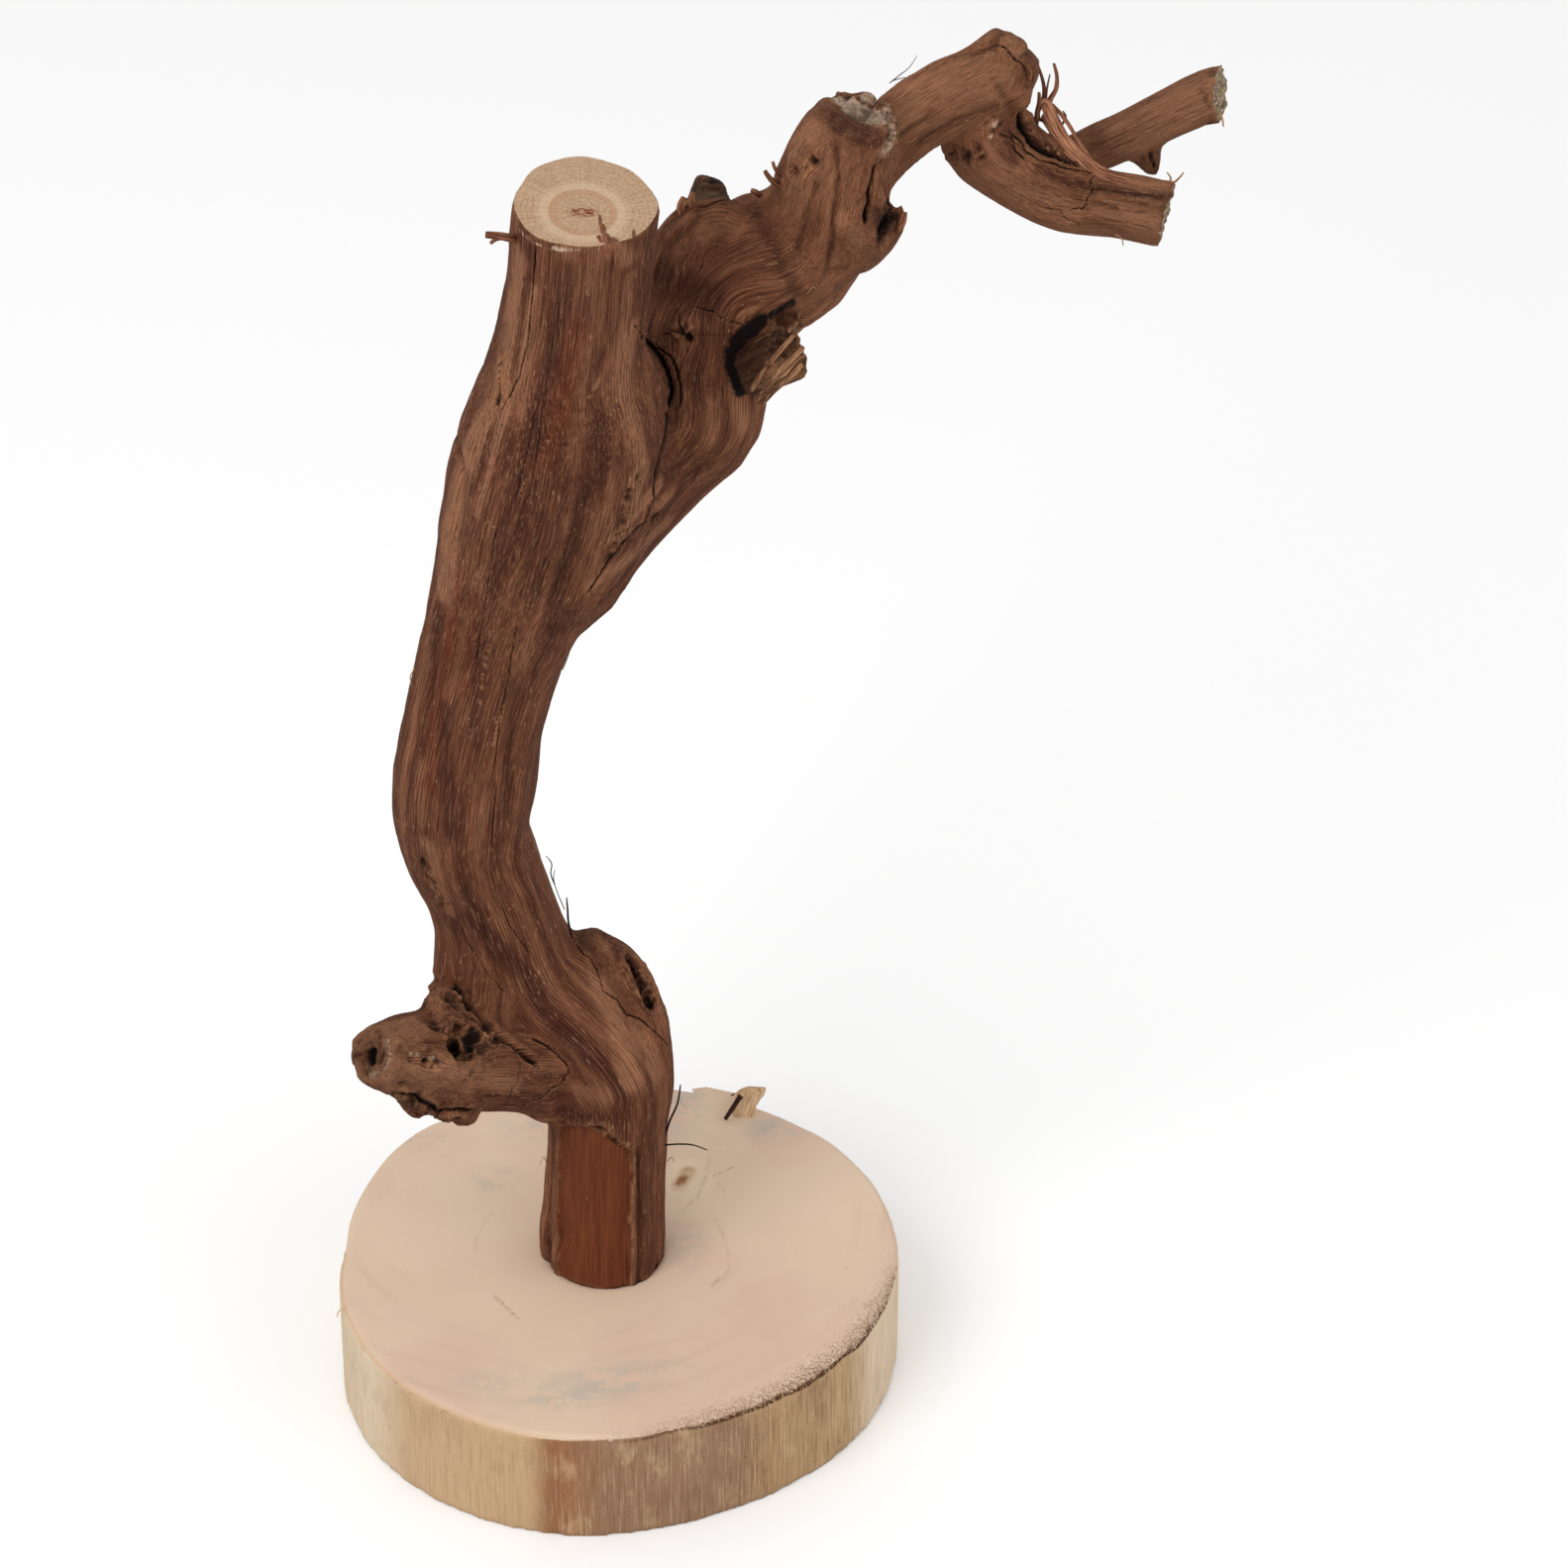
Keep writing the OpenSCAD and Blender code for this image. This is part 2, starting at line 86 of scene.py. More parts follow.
class Wire:
    """A socket of a node tree, whose sums and products with others add Math nodes."""

    def __init__(self, tree, socket=None):
        self.tree = tree
        self.socket = socket

    def node(self, kind, settings=None, inputs=None, out=0):
        """Adds a node, makes its settings, fills its inputs and returns one output."""
        made = self.tree.nodes.new(kind)
        for name, value in (settings or {}).items():
            if name == "stops":
                for _ in value[2:]:
                    made.color_ramp.elements.new(0.5)
                for stop, (place, colour) in zip(made.color_ramp.elements, value):
                    stop.position = place
                    stop.color = (*colour, 1)
            else:
                setattr(made, name, value)
        for key, value in (inputs or {}).items():
            if isinstance(value, Wire):
                self.tree.links.new(value.socket, made.inputs[key])
            elif isinstance(value, tuple) and made.inputs[key].type == "RGBA":
                made.inputs[key].default_value = (*value, 1)
            else:
                made.inputs[key].default_value = value
        return Wire(self.tree, made.outputs[out])

    def sum(self, operation, *values):
        return self.node("ShaderNodeMath", {"operation": operation}, dict(enumerate(values)))

    def __add__(self, other):
        return self.sum("ADD", self, other)

    def __sub__(self, other):
        return self.sum("SUBTRACT", self, other)

    def __rsub__(self, other):
        return self.sum("SUBTRACT", other, self)

    def __mul__(self, other):
        return self.sum("MULTIPLY", self, other)

    def __truediv__(self, other):
        return self.sum("DIVIDE", self, other)

    __radd__ = __add__
    __rmul__ = __mul__

    def bend(self, low, high):
        """0 below low, 1 above high and a smooth rise between them."""
        return self.node("ShaderNodeMapRange", {"interpolation_type": "SMOOTHSTEP"},
                         {"Value": self, "From Min": low, "From Max": high})

    def blend(self, first, second):
        """The first colour where this is 0 and the second where it is 1."""
        return self.node("ShaderNodeMix", {"data_type": "RGBA"}, {0: self, 6: first, 7: second}, 2)

    def stretched(self, sizes, place=(0, 0, 0)):
        """This vector measured in units of the sizes, in metres, from a place."""
        moved = self.node("ShaderNodeVectorMath", {"operation": "SUBTRACT"}, {0: self, 1: place})
        return self.node("ShaderNodeVectorMath", {"operation": "DIVIDE"}, {0: moved, 1: sizes})

    def mottle(self, detail=2.0, roughness=0.5):
        """Noise from 0 to 1 over this vector."""
        return self.node("ShaderNodeTexNoise", None, {
            "Vector": self, "Scale": 1.0, "Detail": detail, "Roughness": roughness})

    def part(self, name):
        """One of this vector's three numbers."""
        return self.node("ShaderNodeSeparateXYZ", None, {0: self}, "XYZ".index(name))

    def stored(self, name, out=2):
        """The number that mark stored under a name, or from output 1 the vector."""
        return self.node("ShaderNodeAttribute", {"attribute_name": name}, None, out)

    def here(self):
        """The place on the object, in metres."""
        return self.node("ShaderNodeTexCoord", None, None, 3)

    def length(self):
        """This vector's length."""
        return self.node("ShaderNodeVectorMath", {"operation": "LENGTH"}, {0: self}, 1)

    def ramp(self, stops):
        """The colour that a row of places and colours gives this number."""
        return self.node("ShaderNodeValToRGB", {"stops": stops}, {0: self})

    def under(self, *layers):
        """This colour below layers, each a mask and a colour, the last one on top."""
        colour = self
        for mask, shade in layers:
            colour = mask.blend(colour, shade if isinstance(shade, Wire) else tint(*shade))
        return colour

    def spot(self, place, sizes, edge=0.5):
        """1 at a place and 0 beyond the sizes round it."""
        return 1 - self.stretched(sizes, place).length().bend(1 - edge, 1)

    def line(self, start, end, width):
        """1 along a straight line between two places and 0 beyond its width."""
        along = np.array(end) - np.array(start)
        near = self.stretched((1, 1, 1), tuple(start))
        share = near.node("ShaderNodeVectorMath", {"operation": "DOT_PRODUCT"}, {
            0: near, 1: tuple(along / (along @ along))}, 1)
        share = share.sum("MINIMUM", share.sum("MAXIMUM", share, 0), 1)
        foot = share.node("ShaderNodeVectorMath", {"operation": "SCALE"}, {
            0: tuple(along), "Scale": share})
        return 1 - near.node("ShaderNodeVectorMath", {"operation": "DISTANCE"}, {
            0: near, 1: foot}, 1).bend(0.3 * width, width)


def finish(name, roughness, specular=0.5):
    """A new material, with a wire to its tree and its surface shader."""
    material = bpy.data.materials.new(name)
    material.use_nodes = True
    tree = material.node_tree
    shader = tree.nodes["Principled BSDF"]
    shader.inputs["Roughness"].default_value = roughness
    shader.inputs["Specular IOR Level"].default_value = specular
    return material, Wire(tree), shader


def feed(wire, shader, name):
    """Lets a wire set one of the shader's inputs."""
    wire.tree.links.new(wire.socket, shader.inputs[name])


def bump(height, shader, strength, distance):
    """Shades the surface as if it stood out by a height, in units of a distance."""
    feed(height.node("ShaderNodeBump", None, {
        "Strength": strength, "Distance": distance, "Height": height}), shader, "Normal")


def tint(red, green, blue):
    """A colour as the eye sees it, from 0 to 255, as the shader wants it."""
    return tuple(((c / 255 + 0.055) / 1.055) ** 2.4 for c in (red, green, blue))


def only(piece):
    """Selects one object and nothing else."""
    bpy.ops.object.select_all(action="DESELECT")
    piece.select_set(True)
    bpy.context.view_layer.objects.active = piece


# The floor is one pale sheet, and the light is that of a white studio: an even glow from
# all round, a wide soft lamp high on the left in front and a weaker one on the right.
floor_half = 2.0
floor_colour = (0.96, 0.96, 0.96)
floor_bounce = (0.62, 0.62, 0.62)
floor_lift = 0.08
glow = 0.72
lamps = [("key", (-0.75, -0.95, 1.25), 1.0, 12.0), ("fill", (1.1, -0.7, 0.7), 1.0, 3.0)]
lamp_target = Vector((0.02, 0, 0.12))

bpy.ops.object.select_all(action="DESELECT")
bpy.ops.mesh.primitive_plane_add(size=2 * floor_half, location=(0, 0, cad_lo.z))
floor = bpy.context.object
floor.name = "floor"
paper, wire, shader = finish("pale_floor", 0.9, 0.0)
seen = wire.node("ShaderNodeLightPath", None, None, 0)
feed(seen.blend(floor_bounce, floor_colour), shader, "Base Color")
feed(seen.blend((0.0, 0.0, 0.0), (floor_lift,) * 3), shader, "Emission Color")
shader.inputs["Emission Strength"].default_value = 1.0
floor.data.materials.append(paper)

world = bpy.data.worlds.new("studio")
bpy.context.scene.world = world
world.use_nodes = True
wire = Wire(world.node_tree)
rays = world.node_tree.nodes.new("ShaderNodeLightPath")
white = sum((Wire(world.node_tree, rays.outputs[name])
             for name in ("Is Camera Ray", "Is Glossy Ray", "Is Transmission Ray")), 0)
feed(white.sum("MINIMUM", white, 1.0) * (1 - glow) + glow,
     world.node_tree.nodes["Background"], "Strength")
world.node_tree.nodes["Background"].inputs["Color"].default_value = (1, 1, 1, 1)

for name, place, width, watts in lamps:
    lamp = bpy.data.objects.new(name, bpy.data.lights.new(name, "AREA"))
    bpy.context.collection.objects.link(lamp)
    lamp.location = place
    lamp.rotation_euler = (lamp_target - Vector(place)).to_track_quat("-Z", "Y").to_euler()
    lamp.data.size = width
    lamp.data.energy = watts


# The base slice: a 27 mm slab sawn across a peeled trunk and left dry and bare. Its faces
# show faint rings and blue stain, its rim is worn and fibrous, and the front right of the
# top edge is torn to a grainy band where the saw left the wood.
slice_voxel = 0.8 * mm
slice_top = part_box("base_slice")[1].z
slice_r = 60.5 * mm
torn_from, torn_to = math.radians(-112), math.radians(16)
torn_width = 9 * mm
rim_steps = 360
ring_centre = (-12 * mm, 14 * mm, slice_top)


def loose_copy(node, name):
    """A piece of its own with a CAD node's mesh, its doubles merged."""
    piece = bpy.data.objects.new(name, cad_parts[node].data.copy())
    bpy.context.collection.objects.link(piece)
    piece.data.materials.clear()
    only(piece)
    bpy.ops.object.mode_set(mode="EDIT")
    bpy.ops.mesh.select_all(action="SELECT")
    bpy.ops.mesh.remove_doubles(threshold=0.001 * mm)
    bpy.ops.object.mode_set(mode="OBJECT")
    return piece


def even_mesh(piece, voxel, smoothing=0):
    """Rebuilds a piece's mesh from small even faces, and smooths it a little."""
    only(piece)
    modifier = piece.modifiers.new("even", "REMESH")
    modifier.mode = "VOXEL"
    modifier.voxel_size = voxel
    bpy.ops.object.modifier_apply(modifier="even")
    if smoothing:
        modifier = piece.modifiers.new("smooth", "SMOOTH")
        modifier.factor = 0.5
        modifier.iterations = smoothing
        bpy.ops.object.modifier_apply(modifier="smooth")


def numbers_of(parts, field):
    """Three numbers for each vertex or face of a mesh."""
    numbers = np.zeros(len(parts) * 3)
    parts.foreach_get(field, numbers)
    return numbers.reshape(-1, 3)


def points_of(piece):
    return numbers_of(piece.data.vertices, "co")


def normals_of(piece):
    return numbers_of(piece.data.vertex_normals, "vector")


def move_points(piece, points):
    piece.data.vertices.foreach_set("co", points.ravel())
    piece.data.update()


def rough(points, *sizes):
    """Noise from -1 to 1 at each point, with features of these sizes."""
    scaled = points / np.array(sizes if len(sizes) > 1 else sizes * 3)
    return np.array([noise.noise(p) for p in scaled.tolist()])


def rise(values, low, high):
    """0 below low, 1 above high and a smooth rise between them."""
    share = np.clip((values - low) / (high - low), 0, 1)
    return share * share * (3 - 2 * share)


def mark(piece, name, values):
    """Stores a value or a vector for each vertex, for the material to read."""
    kind, field = ("FLOAT", "value") if values.ndim == 1 else ("FLOAT_VECTOR", "vector")
    piece.data.attributes.new(name, kind, "POINT").data.foreach_set(field, values.ravel())


def round_off(piece, angle):
    """Shades a piece smooth but for the edges sharper than an angle in degrees."""
    only(piece)
    bpy.ops.object.shade_smooth_by_angle(angle=math.radians(angle))


def sight(x, y, far=1):
    """From the camera to what the photo shows at a pixel, so far along the view."""
    return camera_turn @ np.array([
        (x - photo_size / 2) * pixel * far, (photo_size / 2 - y) * pixel * far, -far])


def on_top(x, y):
    """The place in the plane of the slice's top that the photo shows at a pixel."""
    ray = sight(x, y)
    return tuple(eye + ray * (slice_top - camera_place[2]) / ray[2])


slab = loose_copy("base_slice", "wood_slice")
even_mesh(slab, slice_voxel, smoothing=5)
points, normals = points_of(slab), normals_of(slab)
radius = np.hypot(points[:, 0], points[:, 1])
turn = np.arctan2(points[:, 1], points[:, 0])
outer = rise(radius, 40 * mm, 46 * mm)
upper = (normals[:, 2] > 0.3) * (points[:, 2] > slice_top - 1.5 * mm)
round_place = np.stack([np.cos(turn) * slice_r, np.sin(turn) * slice_r, points[:, 2]], 1)
torn = rise(turn, torn_from, torn_from + 1.1) * (1 - rise(turn, torn_to - 0.7, torn_to))
# How far in from the rim a point lies, found from the outline's own points
rim = np.zeros(rim_steps)
step = (np.degrees(turn) % rim_steps).astype(int)
np.maximum.at(rim, step, radius)
rim = (np.roll(rim, 1) + rim + np.roll(rim, -1)) / 3
inset = np.interp(np.degrees(turn) % rim_steps, np.arange(rim_steps) + 0.5, rim,
                  period=rim_steps) - radius
side = outer * (1 - rise(inset, 0.6 * mm, 2.2 * mm))
near_rim = 1 - rise(inset, 0 * mm, torn_width * (1 + 0.35 * rough(round_place, 14 * mm)))
grain = rough(points, 1.3 * mm)
down = (0.12 * mm * rough(points, 20 * mm) - 0.1 * mm
        - upper * torn * near_rim * (0.7 * mm + 0.5 * mm * grain)
        - upper * (1 - rise(inset, 0, 1.2 * mm)) * 0.35 * mm * (1 + grain))
fibres = rough(round_place, 1.5 * mm, 1.5 * mm, 26 * mm)
lumps = rough(round_place, 9 * mm, 9 * mm, 40 * mm)
split = torn * np.exp(-((points[:, 2] - slice_top + 1.6 * mm + 0.8 * mm
                         * rough(round_place, 7 * mm)) / (0.7 * mm)) ** 2)
inward = (0.5 * mm + 0.05 * mm * fibres + 0.32 * mm * lumps + 0.08 * mm * grain * torn
          + 0.9 * mm * split * (0.6 + 0.6 * grain))
points[:, 2] += upper * down
points[:, :2] -= (side * inward / radius)[:, None] * points[:, :2]
move_points(slab, points)
mark(slab, "top", (normals[:, 2] > 0.6) * 1.0)
mark(slab, "side", outer * (1 - rise(np.abs(normals[:, 2]), 0.5, 0.8)))
mark(slab, "torn", torn * near_rim)
mark(slab, "split", split * outer)
mark(slab, "round", np.stack([turn * slice_r, inset, points[:, 2]], 1))
round_off(slab, 55)

sawn, wire, shader = finish("sawn_wood", 0.78, 0.2)
place, rolled = wire.here(), wire.stored("round", 1)
top, flank, tear, gap = (wire.stored(name) for name in ("top", "side", "torn", "split"))
drift = place.stretched((40 * mm,) * 3).mottle(3)
distance = place.stretched((1, 1, 4), ring_centre).length()
rings = distance.sum("SINE", distance / (1.1 * mm) + drift * 11)
ring_patches = place.stretched((30 * mm,) * 3).mottle(2).bend(0.45, 0.75)
fine = place.stretched((0.7 * mm, 0.7 * mm, 3 * mm)).mottle(3, 0.7)
cloud = place.stretched((6 * mm, 4 * mm, 7 * mm)).mottle(4, 0.7)
top_colour = drift.bend(0.35, 0.68).blend(tint(222, 196, 170), tint(216, 184, 162)).under(
    (rings.bend(0.2, 1.0) * ring_patches * 0.28, (196, 166, 140)))
# Stains where the photo shows them: a pixel, half-width and half-depth in millimetres, strength
stains = [(504, 1193, 9, 8, 0.7), (536, 1136, 12, 9, 0.6), (560, 1412, 14, 6, 0.6),
          (606, 1398, 15, 9, 0.7), (655, 1386, 16, 9, 0.5), (785, 1136, 13, 5, 0.6),
          (700, 1112, 9, 8, 0.9), (430, 1150, 14, 4, 0.4), (688, 1256, 8, 14, 0.5),
          (694, 1134, 7, 12, 0.8), (772, 1142, 12, 7, 0.6), (812, 1128, 9, 5, 0.5),
          (510, 1396, 20, 8, 0.5)]
stain_cloud = cloud.bend(0.38, 0.62)
for x, y, w, d, strength in stains:
    patch = place.spot(on_top(x, y), (w * mm, d * mm, 9 * mm), 0.9)
    top_colour = top_colour.under((patch * stain_cloud * strength * 0.95, (184, 176, 162)))
# A knot in its halo
halo = place.spot(on_top(695, 1190), (6.5 * mm, 9 * mm, 9 * mm), 0.35)
cream = place.line(on_top(732, 1120), on_top(692, 1210), 11 * mm)
knot = place.line(on_top(685, 1198), on_top(695, 1182), 2.4 * mm)
knot_heart = place.line(on_top(686, 1196), on_top(690, 1189), 1.5 * mm)
top_colour = top_colour.under(
    (halo * 0.5, (236, 214, 184)),
    (cream * (0.2 + cloud * 0.6), (232, 208, 176)),
    (knot * (0.3 + cloud.bend(0.35, 0.6) * 0.5), (186, 140, 98)),
    (knot_heart * cloud.bend(0.3, 0.6), (146, 96, 58)))
# Checks and pin holes: half-width in millimetres, strength, then the pixels they run through
checks = [(0.5, 0.8, (721, 1187), (740, 1178)), (0.6, 0.7, (727, 1195), (731, 1202)),
          (0.7, 0.7, (499, 1308), (507, 1315), (518, 1326), (523, 1330)),
          (0.6, 0.3, (722, 1232), (730, 1246), (735, 1262), (736, 1280), (729, 1292)),
          (0.9, 0.8, (725, 1290), (720, 1298)),
          (0.6, 0.3, (497, 1222), (487, 1236), (481, 1250), (480, 1264)),
          (0.6, 0.9, (854, 1279), (855, 1279)), (0.5, 0.9, (490, 1399), (491, 1399)),
          (0.5, 0.5, (684, 1108), (694, 1120)),
          (0.7, 0.4, (716, 1170), (712, 1190), (704, 1208), (690, 1222))]
broken = place.stretched((1.4 * mm,) * 3).mottle(2).bend(0.42, 0.55)
for width, strength, *stops in checks:
    for start, end in zip(stops, stops[1:]):
        check = place.line(on_top(*start), on_top(*end), width * mm)
        top_colour = top_colour.under(
            (check * (0.2 + broken * 0.6) * strength * 0.6, (160, 124, 90)))
# The torn band is speckled, and browner towards the rim
inset, around = rolled.part("Y"), rolled.part("X") / slice_r
grit = place.stretched((0.55 * mm,) * 3).mottle(2, 0.7)
speckled = (tear + cloud * 0.5 - 0.25).bend(0.1, 1.0)
top_colour = top_colour.under(
    (fine.bend(0.45, 0.8) * 0.12, (190, 158, 132)),
    (speckled * (1 - inset.bend(0, 5 * mm)) * 0.6, (168, 134, 104)),
    (speckled * grit.bend(0.5, 0.6) * 0.7, (128, 96, 70)),
    (speckled * (1 - grit.bend(0.36, 0.46)) * 0.6, (236, 222, 204)),
    ((1 - inset.bend(0, 1.6 * mm)) * (1 - around.bend(-1.9, -1.6)) * 0.5, (196, 156, 104)))

# Colours round the rim, each at its turn from +X
side_stops = [(-3.1, (224, 202, 172)), (-2.5, (228, 206, 176)), (-2.3, (206, 173, 135)),
              (-1.80, (202, 167, 127)), (-1.74, (156, 106, 70)), (-1.66, (160, 112, 78)),
              (-1.54, (158, 122, 94)), (-1.05, (160, 125, 96)), (-0.95, (182, 146, 106)),
              (-0.55, (194, 160, 120)), (-0.38, (234, 210, 180)), (3.1, (228, 204, 174))]
streak = rolled.stretched((0.5 * mm, 1, 12 * mm)).mottle(4, 0.65)
around = around + streak * 0.16 - 0.07
blotch = rolled.stretched((8 * mm, 1, 14 * mm)).mottle(4, 0.65)
flecks = rolled.stretched((0.5 * mm, 1, 2.4 * mm)).mottle(2, 0.6)
dark_side = around.bend(-1.80, -1.72) * (1 - around.bend(-0.65, -0.4))
side_colour = ((around + math.pi) / (2 * math.pi)).ramp([
    ((turn + math.pi) / (2 * math.pi), tint(*shade)) for turn, shade in side_stops]).under(
    (blotch.bend(0.5, 0.7) * (0.2 + dark_side * 0.35), (142, 106, 78)),
    ((1 - blotch.bend(0.3, 0.48)) * (0.2 + dark_side * 0.3), (214, 182, 142)),
    ((1 - streak.bend(0.36, 0.5)) * (0.2 + dark_side * 0.25), (118, 80, 54)),
    (streak.bend(0.52, 0.66) * 0.25, (232, 208, 174)),
    (flecks.bend(0.64, 0.72) * (0.2 + dark_side * 0.3), (96, 62, 42)),
    # painted shade in the split below the torn edge
    (gap.bend(0.2, 0.6) * flecks.bend(0.3, 0.5), (86, 54, 34)))
feed((flank * (1 - top)).blend(top_colour, side_colour), shader, "Base Color")
bump((fine * 0.06 + tear * grit * 0.9) * top
     + (streak * 0.5 + flecks * 0.25) * flank * (1 - top), shader, 0.9, 0.5 * mm)
slab.data.materials.append(sawn)
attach(slab, "root")
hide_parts("base_slice")


# The fixing screw and its washer: zinc-plated steel, one cold-headed and the other stamped.
# The pan head with its cross recess and the washer sit in a counterbore in the underside.
# The shank, whose thread is hidden in the wood and left plain, runs up into the branch.
plated, wire, shader = finish("zinc_plate", 0.38)
wear_and_cavity_shade = wire.here().stretched((1.2 * mm,) * 3).mottle(4, 0.6)
feed(wear_and_cavity_shade.bend(0.3, 0.75).blend((0.62, 0.63, 0.65), (0.46, 0.46, 0.47)), shader, "Base Color")
feed(wear_and_cavity_shade * 0.3 + 0.22, shader, "Roughness")
shader.inputs["Metallic"].default_value = 1.0

for node, name, edge in (("fixing_screw", "fixing_screw_zinc", 0.35 * mm),
                         ("screw_washer", "washer_zinc", 0.2 * mm)):
    piece = loose_copy(node, name)
    modifier = piece.modifiers.new("edges", "BEVEL")
    modifier.width = edge
    modifier.segments = 2
    modifier.limit_method = "ANGLE"
    modifier.angle_limit = math.radians(50)
    bpy.ops.object.modifier_apply(modifier="edges")
    piece.data.materials.append(plated)
    round_off(piece, 35)
    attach(piece, "root")
    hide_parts(node)


# The branch: one length of old vine wood in its stringy bark, bent and forked as it grew,
# sawn at the stem and at the foot. Its places below are shares of its reach to the right,
# its depth to the back and its height over the slice, and its thicknesses are diameters.
reach, depth, height = 127 * mm, 56 * mm, 274 * mm
foot = Vector((0, 0, slice_top))
branch_voxel = 0.94 * mm
stem_d, arm_d, tip_d, twig_d, collar_d = 26.5 * mm, 26 * mm, 15 * mm, 10 * mm, 20 * mm
stub_d, knob_d, dead_d = 21 * mm, 21 * mm, 10.5 * mm
stub_len, knob_h, dead_len = 60 * mm, 23 * mm, 27 * mm
rows_apart = 14
# How far from the foot's axis its bark is let into the slice, spread over it and set down
# on it, all of them just outside the tenon
let_in_r, spread_r, seat_r = 12 * mm, 11.9 * mm, 11.75 * mm
# What turned_to_view gives a little way round the back of the outline
past_outline = -0.3


def smooth_line(rows, steps):
    """A smooth line through the rows, with so many steps from each to the next."""
    before = np.concatenate([rows[:1], rows[:-1]])[:-1]
    after = np.concatenate([rows[2:], rows[-1:]])
    line = []
    for a, b, c, d in zip(before, rows[:-1], rows[1:], after):
        for t in np.arange(steps) / steps:
            line.append(0.5 * (2 * b + (c - a) * t + (2 * a - 5 * b + 4 * c - d) * t * t
                               + (3 * b - a - 3 * c + d) * t * t * t))
    return np.array(line + [rows[-1]])


def tree_of(places):
    """A tree that finds the number of the place nearest a point."""
    tree = KDTree(len(places))
    for i, place in enumerate(places):
        tree.insert(place, i)
    tree.balance()
    return tree


class Limb:
    """The middle line of one limb, on which places along and round it are found."""

    def __init__(self, rows, thickness, start=foot, span=(reach, depth, height),
                 up=(0, -1, 0)):
        rows = np.array(rows, float)
        rows = np.concatenate([
            rows[:, :3] * span + np.array(start), rows[:, 3:] * thickness / 2], 1)
        line = smooth_line(rows, rows_apart)
        self.line, self.radius = line[:, :3], line[:, 3]
        along = np.gradient(self.line, axis=0)
        self.along = along / np.linalg.norm(along, axis=1)[:, None]
        self.far = np.concatenate([[0], np.cumsum(
            np.linalg.norm(np.diff(self.line, axis=0), axis=1))])
        side = np.array(up, float)
        self.side = np.zeros_like(self.along)
        for i, t in enumerate(self.along):
            side = side - t * (side @ t)
            side = side / np.linalg.norm(side)
            self.side[i] = side
        self.across = np.cross(self.along, self.side)
        self.tree = tree_of(self.line)

    def unrolled(self, points):
        """Each point's place if the limb were straight, and its distance from the skin."""
        index = np.array([self.tree.find(p)[1] for p in points.tolist()])
        offset = points - self.line[index]
        slip = np.sum(offset * self.along[index], 1)
        x = np.sum(offset * self.side[index], 1)
        y = np.sum(offset * self.across[index], 1)
        past = np.where((index == 0) | (index == len(self.line) - 1), np.abs(slip), 0)
        gap = np.hypot(x, y) - self.radius[index]
        gap = np.where(past > 0.5 * mm, np.hypot(np.maximum(gap, 0), past), gap)
        return np.stack([x, y, self.far[index] + slip], 1), gap, self.radius[index]


stem = Limb([
    (0.000, 0.00, 0.000, 0.99), (0.003, 0.01, 0.062, 0.99), (0.007, 0.02, 0.125, 1.01),
    (0.007, 0.04, 0.172, 1.07), (-0.054, 0.08, 0.214, 1.07), (-0.136, 0.09, 0.263, 1.03),
    (-0.180, 0.06, 0.338, 1.00), (-0.214, 0.02, 0.398, 1.06), (-0.210, 0.01, 0.445, 1.15),
    (-0.197, 0.01, 0.490, 1.11), (-0.176, 0.01, 0.534, 1.12), (-0.151, -0.01, 0.580, 1.15),
    (-0.123, -0.05, 0.627, 1.25), (-0.087, -0.11, 0.688, 1.42), (-0.056, -0.18, 0.749, 1.51),
    (-0.031, -0.27, 0.810, 1.40), (-0.025, -0.37, 0.867, 1.11), (-0.009, -0.44, 0.923, 1.03),
    (0.006, -0.52, 1.000, 1.01)], stem_d)
arm = Limb([
    (-0.061, -0.01, 0.614, 0.60), (0.014, 0.02, 0.674, 0.98), (0.098, 0.08, 0.720, 1.03),
    (0.160, 0.13, 0.755, 1.17), (0.169, 0.18, 0.799, 1.12), (0.218, 0.26, 0.840, 1.13),
    (0.318, 0.33, 0.864, 1.13), (0.380, 0.37, 0.904, 0.70), (0.455, 0.46, 0.937, 0.57),
    (0.534, 0.58, 0.953, 0.61), (0.590, 0.65, 0.958, 0.65), (0.628, 0.68, 0.967, 0.63),
    (0.662, 0.72, 0.986, 0.50)], arm_d)
tip = Limb([
    (0.612, 0.68, 0.958, 0.93), (0.604, 0.68, 0.919, 1.27), (0.673, 0.65, 0.891, 1.20),
    (0.744, 0.58, 0.878, 1.02), (0.819, 0.51, 0.879, 0.89), (0.893, 0.43, 0.881, 0.91)], tip_d)
twig = Limb([
    (0.652, 0.68, 0.892, 1.18), (0.730, 0.76, 0.885, 0.97), (0.793, 0.81, 0.891, 1.03),
    (0.902, 0.90, 0.909, 1.10), (0.992, 1.00, 0.920, 1.18)], twig_d)
ridge = Limb([
    (-0.208, 0.04, 0.346, 0.70), (-0.207, -0.01, 0.298, 0.82), (-0.212, -0.10, 0.268, 0.80),
    (-0.220, -0.21, 0.239, 0.92)], stub_d)
collar = Limb([
    (-0.034, 0.15, 0.281, 0.42), (-0.016, 0.15, 0.266, 0.62), (0.010, 0.15, 0.245, 0.82),
    (0.033, 0.11, 0.208, 0.98), (0.033, 0.06, 0.165, 1.08)], collar_d)
shoulder = Limb([
    (0.120, 0.18, 0.820, 0.48), (0.146, 0.20, 0.866, 0.61), (0.177, 0.22, 0.896, 0.48),
    (0.214, 0.24, 0.892, 0.40)], arm_d)
back_stub = Limb([
    (0.174, 0.26, 0.885, 0.32), (0.176, 0.29, 0.904, 0.31), (0.188, 0.33, 0.922, 0.28)], arm_d)
side_knob = Limb([
    (0.396, 0.26, 0.888, 0.76), (0.434, 0.18, 0.902, 0.58), (0.452, 0.13, 0.911, 0.42)],
    arm_d, up=(0, 0, 1))
